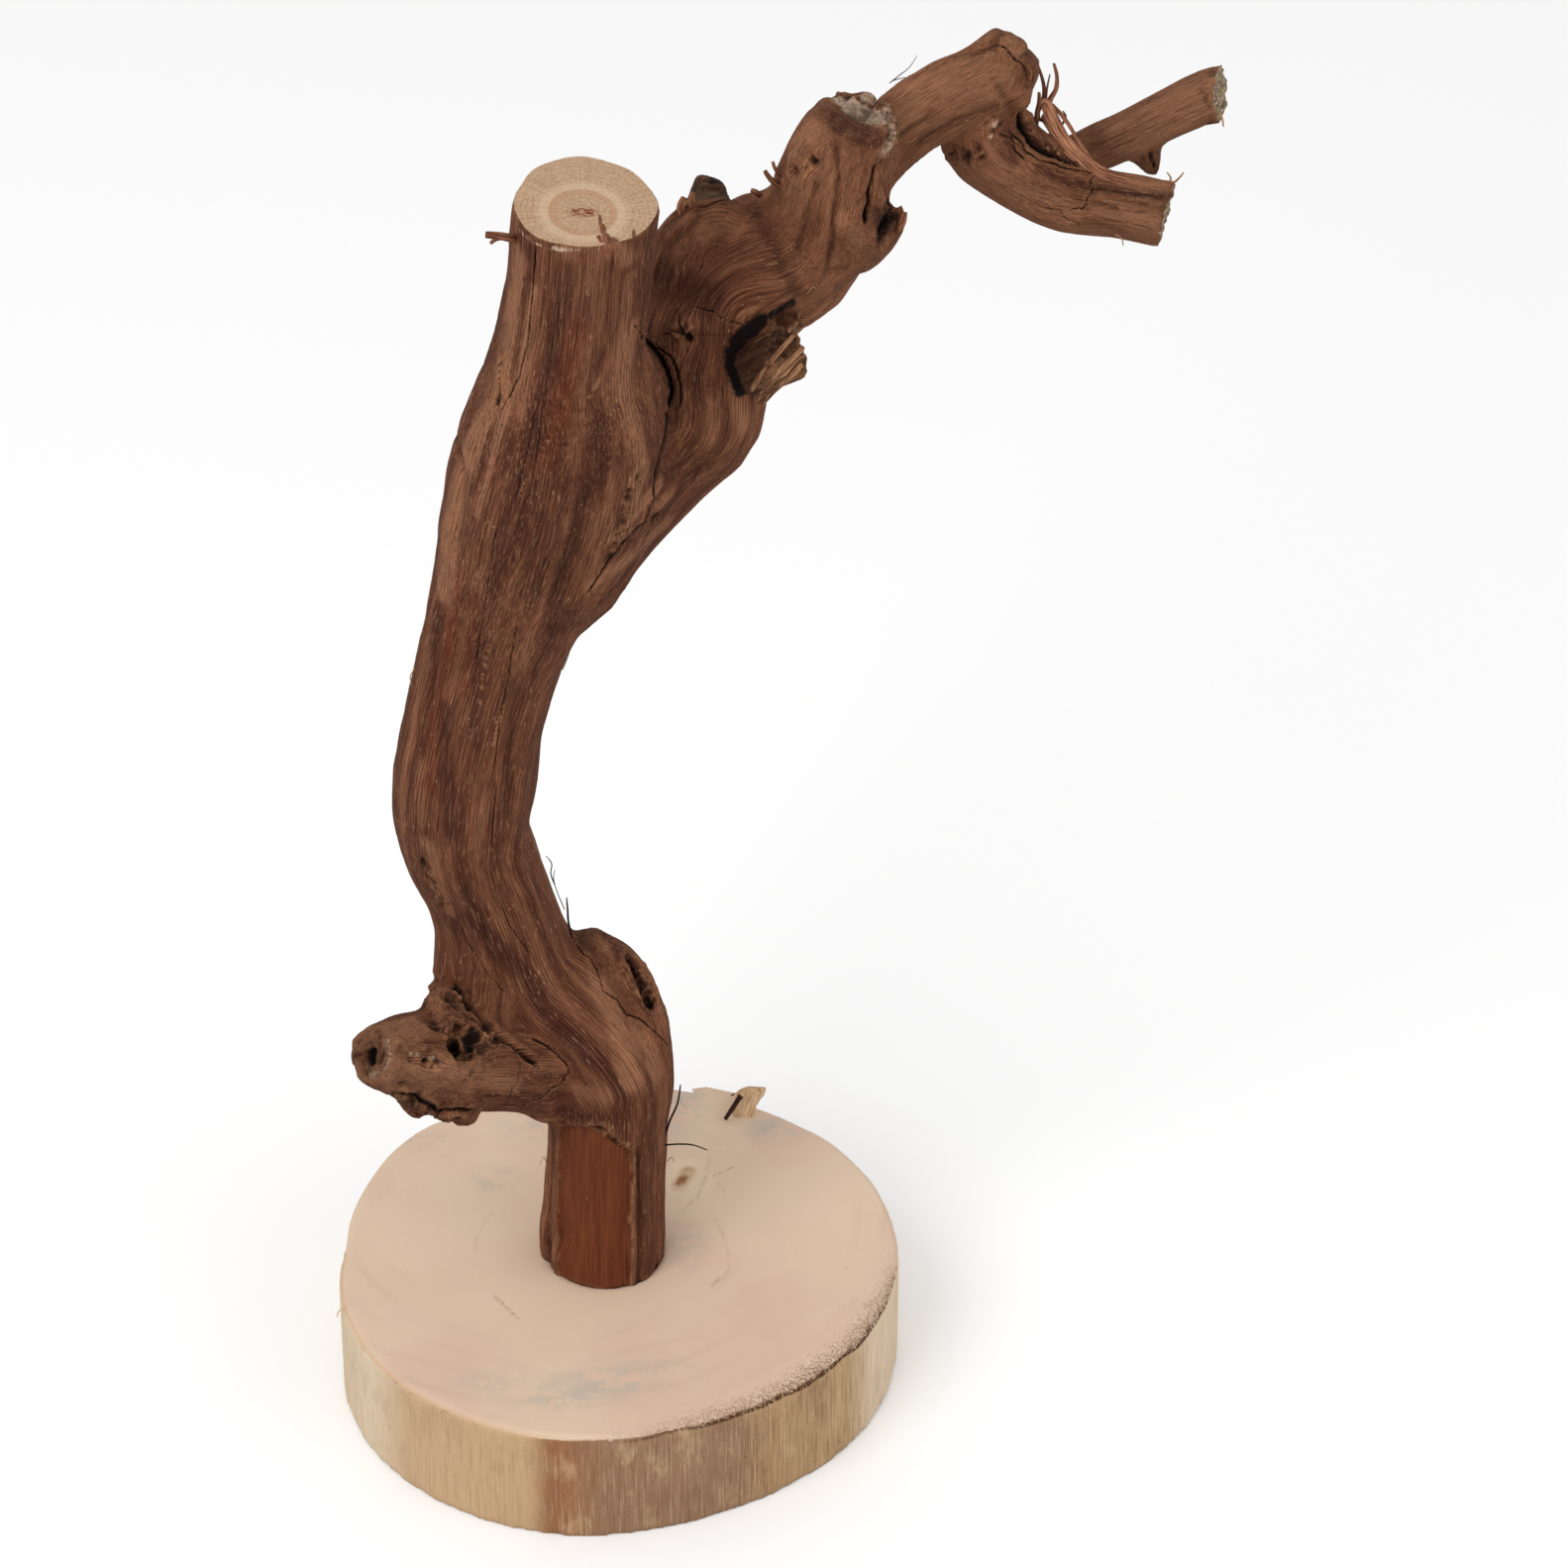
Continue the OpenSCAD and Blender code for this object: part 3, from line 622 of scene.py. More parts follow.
twig_stub = Limb([
    (0.856, 0.86, 0.892, 0.86), (0.870, 0.84, 0.878, 0.66), (0.884, 0.83, 0.868, 0.42)], twig_d)
knob = Limb([
    (-0.10, -0.03, -0.22, 1.10), (-0.04, -0.11, 0.06, 1.16), (0.02, -0.21, 0.38, 1.09),
    (0.09, -0.28, 0.68, 0.99), (0.14, -0.31, 0.81, 0.89), (0.17, -0.33, 0.88, 0.66)],
    knob_d, start=arm.line[7 * rows_apart], span=(knob_h,) * 3)
stub = Limb([
    (-0.12, 0.00, 0.09, 0.99), (-0.30, -0.13, 0.12, 0.98), (-0.50, -0.33, 0.29, 1.05),
    (-0.66, -0.50, 0.44, 0.89), (-0.77, -0.62, 0.53, 0.64)],
    stub_d, start=stem.line[3 * rows_apart], span=(stub_len,) * 3, up=(0, 0, 1))
dead = Limb([
    (0.10, -0.12, -0.15, 0.90), (0.27, -0.30, -0.03, 0.95), (0.46, -0.52, 0.21, 0.92),
    (0.64, -0.72, 0.42, 1.00)], dead_d, start=arm.line[4 * rows_apart], span=(dead_len,) * 3)

branch = loose_copy("branch", "vine_branch")
# The thin strips are made again below as their own pieces, so here they are drawn in
limbs = [stem, arm, tip, twig, ridge, collar, shoulder, back_stub, side_knob, twig_stub,
         knob, stub, dead]
strip_gap, strips_above = 1.0 * mm, slice_top + 0.9 * height
elbow_x, stem_x = 80 * mm, -10 * mm
points = points_of(branch)
gaps = np.stack([limb.unrolled(points)[1] for limb in limbs], 1)
nearest = gaps.argmin(1)
sprung = (gaps.min(1) > strip_gap) & (points[:, 2] > strips_above) & (
    (points[:, 0] > elbow_x) | (points[:, 0] < stem_x))
for i in np.nonzero(sprung)[0]:
    limb = limbs[nearest[i]]
    centre = limb.line[limb.tree.find(points[i])[1]]
    away = points[i] - centre
    points[i] = centre + away / np.linalg.norm(away) * 2 * mm
# The rim that stands on the slice is let in a little, and cut flat at the slice's top below
rim = (np.abs(points[:, 2] - slice_top) < 0.6 * mm) & (
    np.hypot(points[:, 0], points[:, 1]) > let_in_r)
points[rim, 2] -= 3.0 * mm
move_points(branch, points)
even_mesh(branch, branch_voxel, smoothing=4)


def at_depth(x, y, like):
    """The point that a pixel shows, as far along the view as another point."""
    return eye + sight(x, y, -((np.array(like) - eye) @ camera_turn)[2])


def pixels_of(points):
    """The photo's pixels at which points are seen."""
    local = (points - eye) @ camera_turn
    return np.stack([photo_size / 2 - local[:, 0] / local[:, 2] / pixel,
                     photo_size / 2 + local[:, 1] / local[:, 2] / pixel], 1)


def turned_to_view(points, normals):
    """Above 0 where the skin at a point faces the camera."""
    return np.sum(normals * (eye - points), 1)


def inside(pixels, outline):
    """How far inside an outline each pixel lies, in pixels, and below 0 outside it."""
    least = np.full(len(pixels), 1e9)
    odd = np.zeros(len(pixels), bool)
    for (x0, y0), (x1, y1) in zip(outline, outline[1:] + outline[:1]):
        edge, to = np.array([x1 - x0, y1 - y0]), pixels - np.array([x0, y0])
        share = np.clip(to @ edge / (edge @ edge), 0, 1)
        least = np.minimum(least, np.linalg.norm(to - share[:, None] * edge, axis=1))
        crosses = (y0 > pixels[:, 1]) != (y1 > pixels[:, 1])
        odd ^= crosses & (pixels[:, 0] < x0 + (x1 - x0) * (pixels[:, 1] - y0) / ((y1 - y0) or 1))
    return np.where(odd, least, -least)


# The bark of the stem runs on over the fork, so the crease there is filled up to the crack
fork_outline = [(590, 330), (640, 325), (700, 345), (705, 430), (690, 500), (640, 590), (585, 650),
                (560, 600), (600, 450)]
points, normals = points_of(branch), normals_of(branch)
for limb, outline, fill, edge in ((arm, fork_outline, 15 * mm, 22), (stub, [
        (500, 1090), (560, 1090), (578, 1140), (566, 1180), (530, 1172), (510, 1130)], 9 * mm, 12)):
    apart = np.abs(stem.unrolled(points)[1] - limb.unrolled(points)[1])
    filled = rise(inside(pixels_of(points), outline), 0, edge) * (
        turned_to_view(points, normals) > past_outline)
    points += (filled * np.maximum(fill - apart, 0) ** 2 / (4 * fill))[:, None] * normals
# The foot spreads to the left over the slice, the bark hangs lower where the low stub
# leaves the foot, and the dead stub is thicker below
spread = (1 - rise(points[:, 2], slice_top, slice_top + 34 * mm)) * rise(
    -points[:, 0], 4 * mm, 12 * mm)
points[:, 0] -= 2.1 * mm * spread * (np.hypot(points[:, 0], points[:, 1]) > spread_r)
x, y = pixels_of(points).T
droop = rise(x, 522, 552) * (1 - rise(x, 562, 592)) * np.exp(-((y - 1116) / 17) ** 2) * (
    turned_to_view(points, normals) > past_outline)
points[:, 2] -= 3.6 * mm * droop
low = camera_turn @ np.array([0.6, -0.8, 0])
thicker = (dead.unrolled(points)[1] < 1.2 * mm) * rise(arm.unrolled(points)[1], 0.2 * mm, 2 * mm)
points += (2.0 * mm * thicker * np.clip(normals @ low, 0, 1))[:, None] * low
# The hollow in the low stub's end is closed, and its swirl and its small hole are cut below
bowl, gap, _ = stub.unrolled(points)
sunken = (gap < -0.35 * mm) & (bowl[:, 2] < stub.far[-1]) & (
    bowl[:, 2] > stub.far[-1] - 12 * mm) & (
    np.hypot(bowl[:, 0], bowl[:, 1]) < 0.95 * stub.radius[-1])
points[sunken] += ((stub.far[-1] - bowl[sunken, 2]) * 0.97)[:, None] * stub.along[-1]
# The bark closes in round the dead stub's foot, up to a gap that is painted near black below as
# shade
closed = [(690, 300), (772, 288), (800, 296), (770, 318), (744, 338), (734, 356), (736, 378),
          (748, 396), (745, 430), (690, 430)]
fits = rise(inside(pixels_of(points), closed), 0, 6)
living = [limb for limb in limbs if limb is not dead]
for i in np.nonzero(fits)[0]:
    gap, limb = min(((limb.unrolled(points[i:i + 1])[1][0], limb) for limb in living),
                    key=lambda found: found[0])
    away = points[i] - limb.line[limb.tree.find(points[i])[1]]
    points[i] += fits[i] * max(0, -gap) * away / np.linalg.norm(away)
move_points(branch, points)
even_mesh(branch, branch_voxel, smoothing=5)
skin = BVHTree.FromObject(branch, bpy.context.evaluated_depsgraph_get())


def seen_at(x, y):
    """The point of the branch that the photo shows at a pixel, and its normal. Beside the
    branch it is the point nearest the line of sight."""
    search_from, search_step, search_steps = 1.0, 0.004, 150
    ray = Vector(sight(x, y)).normalized()
    place, normal, _, _ = skin.ray_cast(Vector(eye), ray)
    if place is None:
        found = [skin.find_nearest(Vector(eye) + ray * (search_from + search_step * i))
                 for i in range(search_steps)]
        place, normal, _, _ = min(found, key=lambda hit: hit[3])
    return place, normal


class Trace:
    """Lines traced on the bark, each with a width and a strength, and a tree to find them."""

    def __init__(self, lines, pixels_apart=5):
        rows = []
        for width, strength, *stops in lines:
            path = []
            for (x0, y0), (x1, y1) in zip(stops, stops[1:] or stops):
                steps = max(1, int(math.hypot(x1 - x0, y1 - y0) / pixels_apart))
                path += [(x0 + (x1 - x0) * i / steps, y0 + (y1 - y0) * i / steps)
                         for i in range(steps)]
            path.append(stops[-1])
            found = [seen_at(x, y) for x, y in path]
            for i, (place, normal) in enumerate(found):
                ahead = found[min(i + 1, len(found) - 1)][0] - found[max(i - 1, 0)][0]
                side = normal.cross(ahead).normalized()
                rows.append([*place, *side, width * mm, strength])
        rows = np.array(rows)
        self.place, self.side, self.width, self.strength = (
            rows[:, :3], rows[:, 3:6], rows[:, 6], rows[:, 7])
        self.tree = tree_of(self.place)

    def nearest(self, points):
        """The number of the row nearest each point, and its distance."""
        found = [self.tree.find(p)[1:] for p in points.tolist()]
        return np.array([f[0] for f in found]), np.array([f[1] for f in found])

    def near(self, points):
        """How strongly each point is marked, from 0 to 1."""
        index, distance = self.nearest(points)
        return self.strength[index] * np.exp(-(distance / self.width[index]) ** 2)

    def beside(self, points):
        """How far beside the nearest line each point lies, in widths, how near it is to
        any, and the line's strength."""
        index, distance = self.nearest(points)
        lateral = np.sum((points - self.place[index]) * self.side[index], 1)
        return (np.clip(lateral / self.width[index], -8, 8),
                np.exp(-(distance / (2.2 * self.width[index] + 0.5 * mm)) ** 2),
                self.strength[index])


# Cracks: half-width and depth in millimetres, then the pixels that each runs through
cracks = Trace([
    (0.4, 1.2, (648, 340), (659, 351), (668, 367), (675, 382), (678, 395), (677, 408)),
    (0.25, 0.8, (649, 343), (656, 360), (662, 376), (665, 388), (668, 402)),
    (0.25, 0.8, (664, 350), (677, 360), (684, 376), (688, 391), (688, 406)),
    (0.2, 0.5, (642, 330), (647, 336)),
    (0.2, 0.5, (541, 250), (537, 300), (533, 348), (524, 380), (514, 400)),
    (0.2, 0.4, (521, 634), (516, 665), (510, 702), (505, 728), (502, 755)),
    (0.16, 0.3, (567, 300), (556, 360), (549, 410), (543, 450), (538, 480)),
    (0.16, 0.3, (500, 540), (494, 580), (488, 620), (482, 660), (478, 700)),
    (0.5, 1.7, (506, 364), (505, 378), (504, 390), (502, 405)),
    (0.2, 0.5, (674, 337), (681, 335), (688, 339)), (0.2, 0.6, (685, 321), (686, 330), (688, 338)),
    (0.2, 0.6, (692, 343), (693, 352)),
    (0.16, 0.3, (547, 398), (539, 420), (536, 440), (530, 462), (524, 490), (519, 512)),
    (0.16, 0.4, (502, 755), (499, 775), (500, 800), (498, 830), (496, 880), (503, 908),
     (515, 935), (533, 960)),
    (0.16, 0.3, (456, 912), (464, 932), (471, 950), (483, 968), (492, 983), (503, 994),
     (514, 1007)),
    (0.22, 0.55, (579, 944), (588, 962), (596, 968), (603, 980), (610, 1000), (625, 1010),
     (634, 1024), (648, 1030), (662, 1042), (674, 1054)),
    (0.9, 2.6, (461, 1000), (478, 1020), (492, 1034), (509, 1049), (524, 1060), (538, 1071)),
    (0.2, 0.4, (522, 1068), (526, 1078), (524, 1090), (517, 1100), (513, 1112), (505, 1118)),
    (0.25, 0.55, (541, 1050), (550, 1055), (560, 1063), (571, 1074), (574, 1082), (568, 1093),
     (556, 1100), (548, 1108), (536, 1112), (525, 1117), (509, 1115)),
    (0.18, 0.4, (543, 1087), (548, 1082), (554, 1083), (557, 1088), (554, 1093), (548, 1096)),
    (0.6, 1.6, (404, 1105), (420, 1108), (436, 1116), (455, 1122), (472, 1122)),
    (0.6, 1.8, (882, 176), (878, 190), (877, 203), (875, 216)),
    (0.3, 0.8, (686, 213), (697, 207), (713, 207), (727, 203), (743, 200), (760, 195)),
    (0.22, 0.4, (706, 311), (720, 315), (734, 324), (746, 327)),
    (0.22, 0.6, (887, 91), (902, 86), (916, 78), (932, 71), (940, 63), (962, 56), (987, 45)),
    (0.2, 0.6, (1003, 47), (1012, 48), (1018, 53), (1025, 60), (1032, 64), (1037, 71), (1040, 78)),
    (1.1, 2.6, (1034, 127), (1041, 140), (1050, 147), (1062, 154), (1076, 159), (1090, 165),
     (1104, 171)),
    (0.25, 0.6, (1014, 137), (1022, 141), (1024, 150), (1031, 157)),
    (0.25, 0.6, (1022, 136), (1031, 143), (1036, 152), (1050, 162), (1064, 165), (1078, 170),
     (1104, 175)),
    (0.2, 0.5, (1107, 174), (1101, 183), (1102, 192), (1097, 200), (1094, 209), (1085, 211)),
    (0.25, 0.5, (1059, 211), (1070, 214), (1076, 221), (1085, 224))])
# Soft folds of the bark, in the same terms
folds = Trace([
    (1.8, 0.8, (658, 345), (670, 360), (680, 378), (684, 396), (684, 410)),
    (1.6, 0.55, (764, 212), (768, 226), (776, 240), (785, 252), (788, 270), (797, 282), (802, 294)),
    (0.9, 0.9, (844, 156), (846, 178), (843, 200), (840, 222), (839, 244), (836, 262)),
    (1.0, 0.6, (822, 190), (812, 215), (808, 240)),
    (1.6, 0.8, (704, 215), (694, 232), (676, 248), (668, 266)),
    (1.4, 0.5, (640, 290), (626, 330), (606, 366)),
    (1.6, 0.8, (455, 430), (468, 480), (462, 540)),
    (2.0, 0.7, (600, 490), (588, 540), (566, 590)),
    (1.4, 0.7, (440, 640), (434, 700), (425, 760)),
    (1.4, 0.7, (520, 700), (514, 760), (515, 820)),
    (1.6, 0.8, (598, 960), (620, 1000), (640, 1030)),
    (1.4, 0.8, (556, 1150), (554, 1200), (552, 1290)),
    (1.1, 0.9, (645, 1170), (648, 1230), (646, 1290)),
    (1.0, 0.6, (662, 1120), (666, 1180), (664, 1280)),
    (1.4, 0.7, (1010, 90), (1022, 110), (1030, 128)),
    (1.2, 0.7, (1045, 185), (1080, 196), (1120, 208)),
    (1.1, 0.6, (1120, 196), (1150, 205), (1180, 212)),
    (1.1, 0.6, (1110, 190), (1145, 196), (1184, 202)),
    (1.4, 0.6, (935, 140), (965, 122), (1000, 110))])
# Broad tints of the bark, and a little painted shade: half-width in millimetres, strength, then the
# pixels
purple = Trace([
    (2.6, 0.6, (486, 650), (482, 700), (480, 750)),
    # The next three rows paint shade on the dead stub's upper side and beside the gap round it
    (1.9, 1.0, (757, 368), (774, 350), (792, 334)),
    (3.0, 1.3, (750, 354), (747, 374), (754, 392)), (2.0, 1.1, (768, 350), (764, 372), (764, 390)),
    (2.6, 0.6, (570, 270), (566, 330), (560, 390)),
    (2.3, 0.9, (474, 927), (501, 954), (533, 988), (557, 1029), (584, 1055), (606, 1072)),
    (2.3, 0.9, (447, 715), (448, 764), (454, 802), (457, 841)),
    (1.4, 0.7, (441, 611), (434, 667)),
    (1.8, 0.7, (561, 306), (547, 398), (528, 467), (508, 540), (497, 600)),
    (1.6, 0.5, (592, 300), (584, 340)),
    (1.0, 0.6, (652, 1160), (654, 1220), (652, 1285)),
    (4.0, 0.9, (668, 282), (690, 290), (716, 300)),
    (2.0, 1.2, (832, 116), (850, 126), (866, 136), (880, 140)),
    (3.0, 0.5, (762, 209), (782, 255), (801, 292)),
    (4.0, 0.45, (597, 500), (600, 450), (612, 420)),
    (2.0, 0.6, (512, 1090), (530, 1108), (545, 1120)),
    (3.0, 0.6, (1010, 120), (1020, 140), (1020, 160)),
    (1.4, 0.9, (1110, 186), (1145, 192), (1182, 198)),
    (1.6, 0.7, (1050, 170), (1080, 184), (1104, 190)),
    (3.0, 0.5, (700, 370), (706, 386)), (2.2, 0.8, (1040, 130), (1056, 148), (1080, 160)),
    (3.0, 0.6, (1110, 140), (1130, 150)), (2.6, 0.7, (566, 1120), (590, 1130), (620, 1134))])
red = Trace([
    (2.6, 0.9, (459, 560), (454, 637), (439, 688), (431, 764), (428, 800)),
    (2.8, 0.8, (584, 329), (574, 375), (561, 432), (550, 470)),
    (1.2, 0.7, (477, 600), (474, 650), (470, 700)),
    (3.0, 0.5, (455, 985), (475, 1000)),
    (2.5, 0.5, (755, 300), (740, 310)),
    (2.0, 0.6, (893, 195), (905, 210))])
tan = Trace([
    (3.2, 1.0, (524, 262), (514, 340), (503, 390), (486, 430), (468, 480), (456, 535), (448, 600)),
    (0.35, 1.1, (493, 650), (486, 690), (483, 715), (475, 745)),
    (0.5, 1.2, (508, 714), (502, 735), (499, 750)),
    (0.6, 1.2, (605, 382), (600, 392), (595, 400)), (0.5, 1.0, (556, 440), (549, 452)),
    (0.8, 1.2, (1188, 186), (1184, 205), (1178, 228), (1171, 243)),
    (1.0, 0.9, (538, 290), (526, 375), (510, 420), (492, 478), (480, 520)),
    (2.6, 0.7, (640, 330), (632, 380), (640, 430), (650, 480), (630, 540)),
    (1.6, 1.0, (768, 404), (786, 390), (808, 374)), (1.3, 0.9, (768, 390), (788, 370), (812, 346)),
    (1.0, 1.0, (806, 320), (812, 336)),
    (2.4, 0.8, (620, 250), (636, 262)), (2.2, 0.5, (424, 770), (426, 830)),
    (3.0, 0.5, (722, 410), (716, 445)), (1.4, 0.7, (558, 1180), (557, 1270)),
    (2.0, 1.2, (664, 492), (650, 508), (636, 524), (622, 542)),
    (2.0, 0.5, (640, 280), (628, 330), (620, 380)),
    (6.0, 0.8, (925, 95), (965, 85), (1000, 80)), (3.0, 0.8, (895, 130), (925, 118)),
    (3.0, 0.9, (800, 150), (812, 140), (822, 132)), (5.0, 0.5, (810, 200), (830, 180)),
    (3.5, 0.6, (852, 220), (864, 240)), (5.0, 0.5, (1010, 180), (1040, 205), (1080, 222)),
    (3.0, 0.7, (1120, 215), (1165, 228)), (1.6, 0.7, (1110, 180), (1150, 185), (1185, 188)),
    (3.0, 0.6, (740, 400), (752, 430)), (3.0, 0.7, (600, 590), (640, 560), (670, 530)),
    (1.6, 1.0, (646, 470), (640, 490), (634, 505)), (2.0, 0.7, (676, 500), (664, 510)),
    (3.6, 0.9, (606, 1000), (630, 1050), (640, 1090)),
    (5.0, 0.8, (400, 1095), (372, 1040), (420, 1040)),
    (1.3, 1.3, (366, 1053), (378, 1049), (388, 1058)),
    (1.3, 1.2, (384, 1076), (372, 1081), (364, 1074)),
    (1.4, 1.1, (360, 1046), (374, 1040), (390, 1048), (396, 1066), (390, 1082), (374, 1089),
     (360, 1082)), (3.0, 0.7, (490, 1085), (520, 1095)),
    (3.0, 0.8, (440, 1078), (480, 1080)), (3.0, 0.6, (655, 960), (672, 1000)),
    (3.0, 0.5, (585, 1100), (610, 1110)),
    (2.0, 0.9, (1000, 48), (1018, 44), (1030, 52)),
    (1.3, 0.9, (513, 388), (511, 400)),
    (2.4, 0.7, (430, 850), (440, 890), (452, 920)),
    (3.2, 0.6, (640, 1040), (655, 1060), (662, 1085)),
    (2.2, 0.6, (590, 940), (610, 955)),
    (4.5, 0.7, (390, 1040), (410, 1085), (440, 1100), (470, 1090)),
    (2.0, 0.6, (690, 204), (720, 198), (745, 196)),
    (6.0, 0.9, (1140, 130), (1180, 108), (1225, 85))])
pale = Trace([
    (2.2, 1.0, (850, 100), (862, 110), (876, 118), (888, 124)),
    (1.2, 0.9, (874, 99), (880, 102)),
    (0.8, 1.1, (1003, 125)), (0.45, 0.9, (1000, 137)),
    (1.5, 0.5, (889, 106), (896, 122), (895, 140), (889, 152)),
    (0.8, 0.5, (415, 1064), (437, 1068)),
    (0.5, 0.9, (521, 227), (527, 237), (543, 246), (563, 251), (588, 253), (610, 251)),
    (1.0, 0.6, (392, 1052), (396, 1066), (390, 1080), (376, 1086))])
grey = Trace([
    (3.0, 1.3, (708, 188), (716, 186), (728, 192)),
    (1.4, 0.8, (842, 95), (852, 98)),
    (0.9, 0.7, (776, 170), (779, 178))])
# Crumbled bark, the gap round the dead stub, which is painted near black as shade, and the mouths
# of the hollows, as above
crumbs = Trace([
    (4.4, 1.0, (432, 1004), (452, 1004), (470, 1018)),
    (4.0, 1.0, (450, 1034), (470, 1045), (494, 1046), (470, 1064)),
    (3.0, 0.5, (405, 1118), (425, 1126), (452, 1130), (474, 1128)),
    (3.0, 0.4, (380, 1040), (400, 1060), (430, 1060)), (2.4, 0.8, (400, 1106), (436, 1118)),
    (2.4, 1.0, (645, 985), (655, 1012)),
    (1.8, 0.8, (684, 337), (694, 337)),
    (2.2, 0.8, (950, 156), (970, 160), (988, 155)),
    (2.4, 0.9, (846, 95), (866, 97), (886, 104), (895, 122), (896, 142), (890, 155)),
    (1.6, 0.9, (905, 196), (909, 210), (903, 226), (890, 240)),
    (1.5, 0.7, (652, 470), (636, 500), (628, 535), (616, 560)),
    (1.8, 0.7, (425, 1071), (437, 1072)),
    (1.0, 0.35, (362, 1050), (374, 1043), (388, 1056), (386, 1076), (370, 1083), (361, 1068)),
    (1.2, 0.8, (1160, 160), (1168, 172)),
    (1.4, 0.9, (428, 872), (436, 890), (446, 912)),
    (2.2, 0.8, (708, 180), (724, 184)),
    (1.2, 0.9, (820, 163)),
    (1.2, 0.9, (597, 1139), (622, 1150))])
pocket = Trace([
    (1.5, 0.9, (800, 308), (790, 312), (780, 318)), (2.2, 1.0, (768, 325), (755, 336), (745, 346)),
    (1.8, 1.0, (739, 356), (738, 370), (743, 384), (749, 397))])
sockets = Trace([
    (2.6, 1.0, (790, 310), (768, 324), (747, 345), (740, 365), (746, 385)),
    (2.6, 1.0, (478, 1049)), (1.6, 1.0, (456, 1062)),
    (2.0, 0.9, (463, 1006)),
    (0.9, 0.8, (374, 1067)),
    (1.5, 0.9, (427, 1071), (436, 1073)),
    (2.6, 1.0, (632, 965), (640, 985), (652, 1008), (660, 1024)),
    (1.5, 1.0, (901, 194), (903, 204), (901, 214), (895, 222), (891, 230))])
# Pits and swellings: half-width and depth or height in millimetres, then the pixels
dents = Trace([
    (1.6, 2.2, (901, 194), (904, 204), (902, 213)), (0.8, 1.6, (895, 221), (890, 231)),
    (1.2, 1.2, (663, 524)), (0.6, 0.8, (639, 546)), (0.5, 0.7, (648, 487)), (0.5, 0.7, (655, 540)),
    (0.7, 2.0, (688, 339)), (1.0, 2.0, (696, 342)), (0.9, 1.8, (1168, 168)),
    (0.4, 0.7, (1003, 118), (1010, 125), (1003, 132), (996, 125), (1003, 118)),
    (0.9, 1.3, (820, 164)), (0.9, 1.3, (853, 99)),
    (1.1, 2.6, (374, 1062), (374, 1071)), (0.4, 0.4, (386, 1066), (383, 1075), (375, 1079),
     (366, 1074), (363, 1065), (366, 1057), (376, 1053), (384, 1058), (386, 1066)),
    (1.7, 3.0, (480, 1044), (474, 1053)),
    (0.9, 2.2, (456, 1058), (457, 1066)), (1.1, 2.2, (462, 1000), (468, 1009)),
    (0.8, 1.0, (415, 1071)), (0.8, 1.0, (436, 1076)), (1.0, 1.4, (405, 1096)),
    (1.0, 1.2, (428, 1112)),
    (1.0, 1.6, (634, 968), (640, 985)), (0.9, 1.4, (655, 1014))])
bumps = Trace([
    (0.9, 0.6, (393, 1063), (388, 1076), (376, 1081), (364, 1076), (358, 1063), (363, 1050),
     (376, 1045), (388, 1050), (393, 1063)),
    (0.9, 0.8, (1003, 125)), (0.6, 0.5, (1000, 137)), (2.6, 1.5, (1019, 40), (1027, 44)),
    (1.0, 0.9, (876, 100)), (0.5, 0.7, (812, 163), (816, 157), (824, 156), (829, 162),
                             (826, 169), (818, 170), (812, 163)),
    (1.0, 0.7, (888, 196), (893, 214), (884, 234)), (2.2, 1.0, (468, 1030), (484, 1044)),
    (1.6, 1.2, (440, 1010), (448, 1000)), (1.4, 0.9, (425, 1062), (445, 1078)),
    (1.6, 0.9, (394, 1044), (398, 1066), (390, 1086)), (1.6, 0.8, (440, 1095), (480, 1080)),
    (1.0, 0.7, (646, 975), (652, 995)), (3.0, -1.2, (1050, 60), (1048, 74)),
    (3.2, -1.9, (974, 47)), (3.2, -2.8, (990, 42), (1003, 36)), (3.0, -1.4, (1043, 60), (1042, 76)),
    (2.6, 1.6, (893, 112), (896, 128), (892, 146)), (3.0, -1.4, (852, 296), (838, 306), (822, 314)),
    (2.0, 1.2, (1034, 104), (1036, 120)), (2.4, 1.8, (436, 1116), (447, 1123)),
    (1.8, -1.3, (462, 1136), (474, 1141), (484, 1134)), (1.6, -0.8, (414, 1126), (424, 1130))])


def chosen_faces(piece, chosen):
    """Goes to edit mode with only the chosen faces selected."""
    only(piece)
    bpy.ops.object.mode_set(mode="EDIT")
    bpy.ops.mesh.select_mode(type="FACE")
    bpy.ops.mesh.select_all(action="DESELECT")
    bpy.ops.object.mode_set(mode="OBJECT")
    piece.data.polygons.foreach_set("select", chosen)
    bpy.ops.object.mode_set(mode="EDIT")


def centres_of(piece):
    return numbers_of(piece.data.polygons, "center")


def sawn_faces(piece, limb):
    """Which faces lie on a limb's sawn end."""
    normals = np.array([face.normal for face in piece.data.polygons])
    offset = centres_of(piece) - limb.end
    return (np.abs(offset @ limb.end_along) < 0.02 * mm) & (
        np.abs(normals @ limb.end_along) > 0.99) & (
        np.linalg.norm(offset, axis=1) < limb.radius[-1] * 1.4)


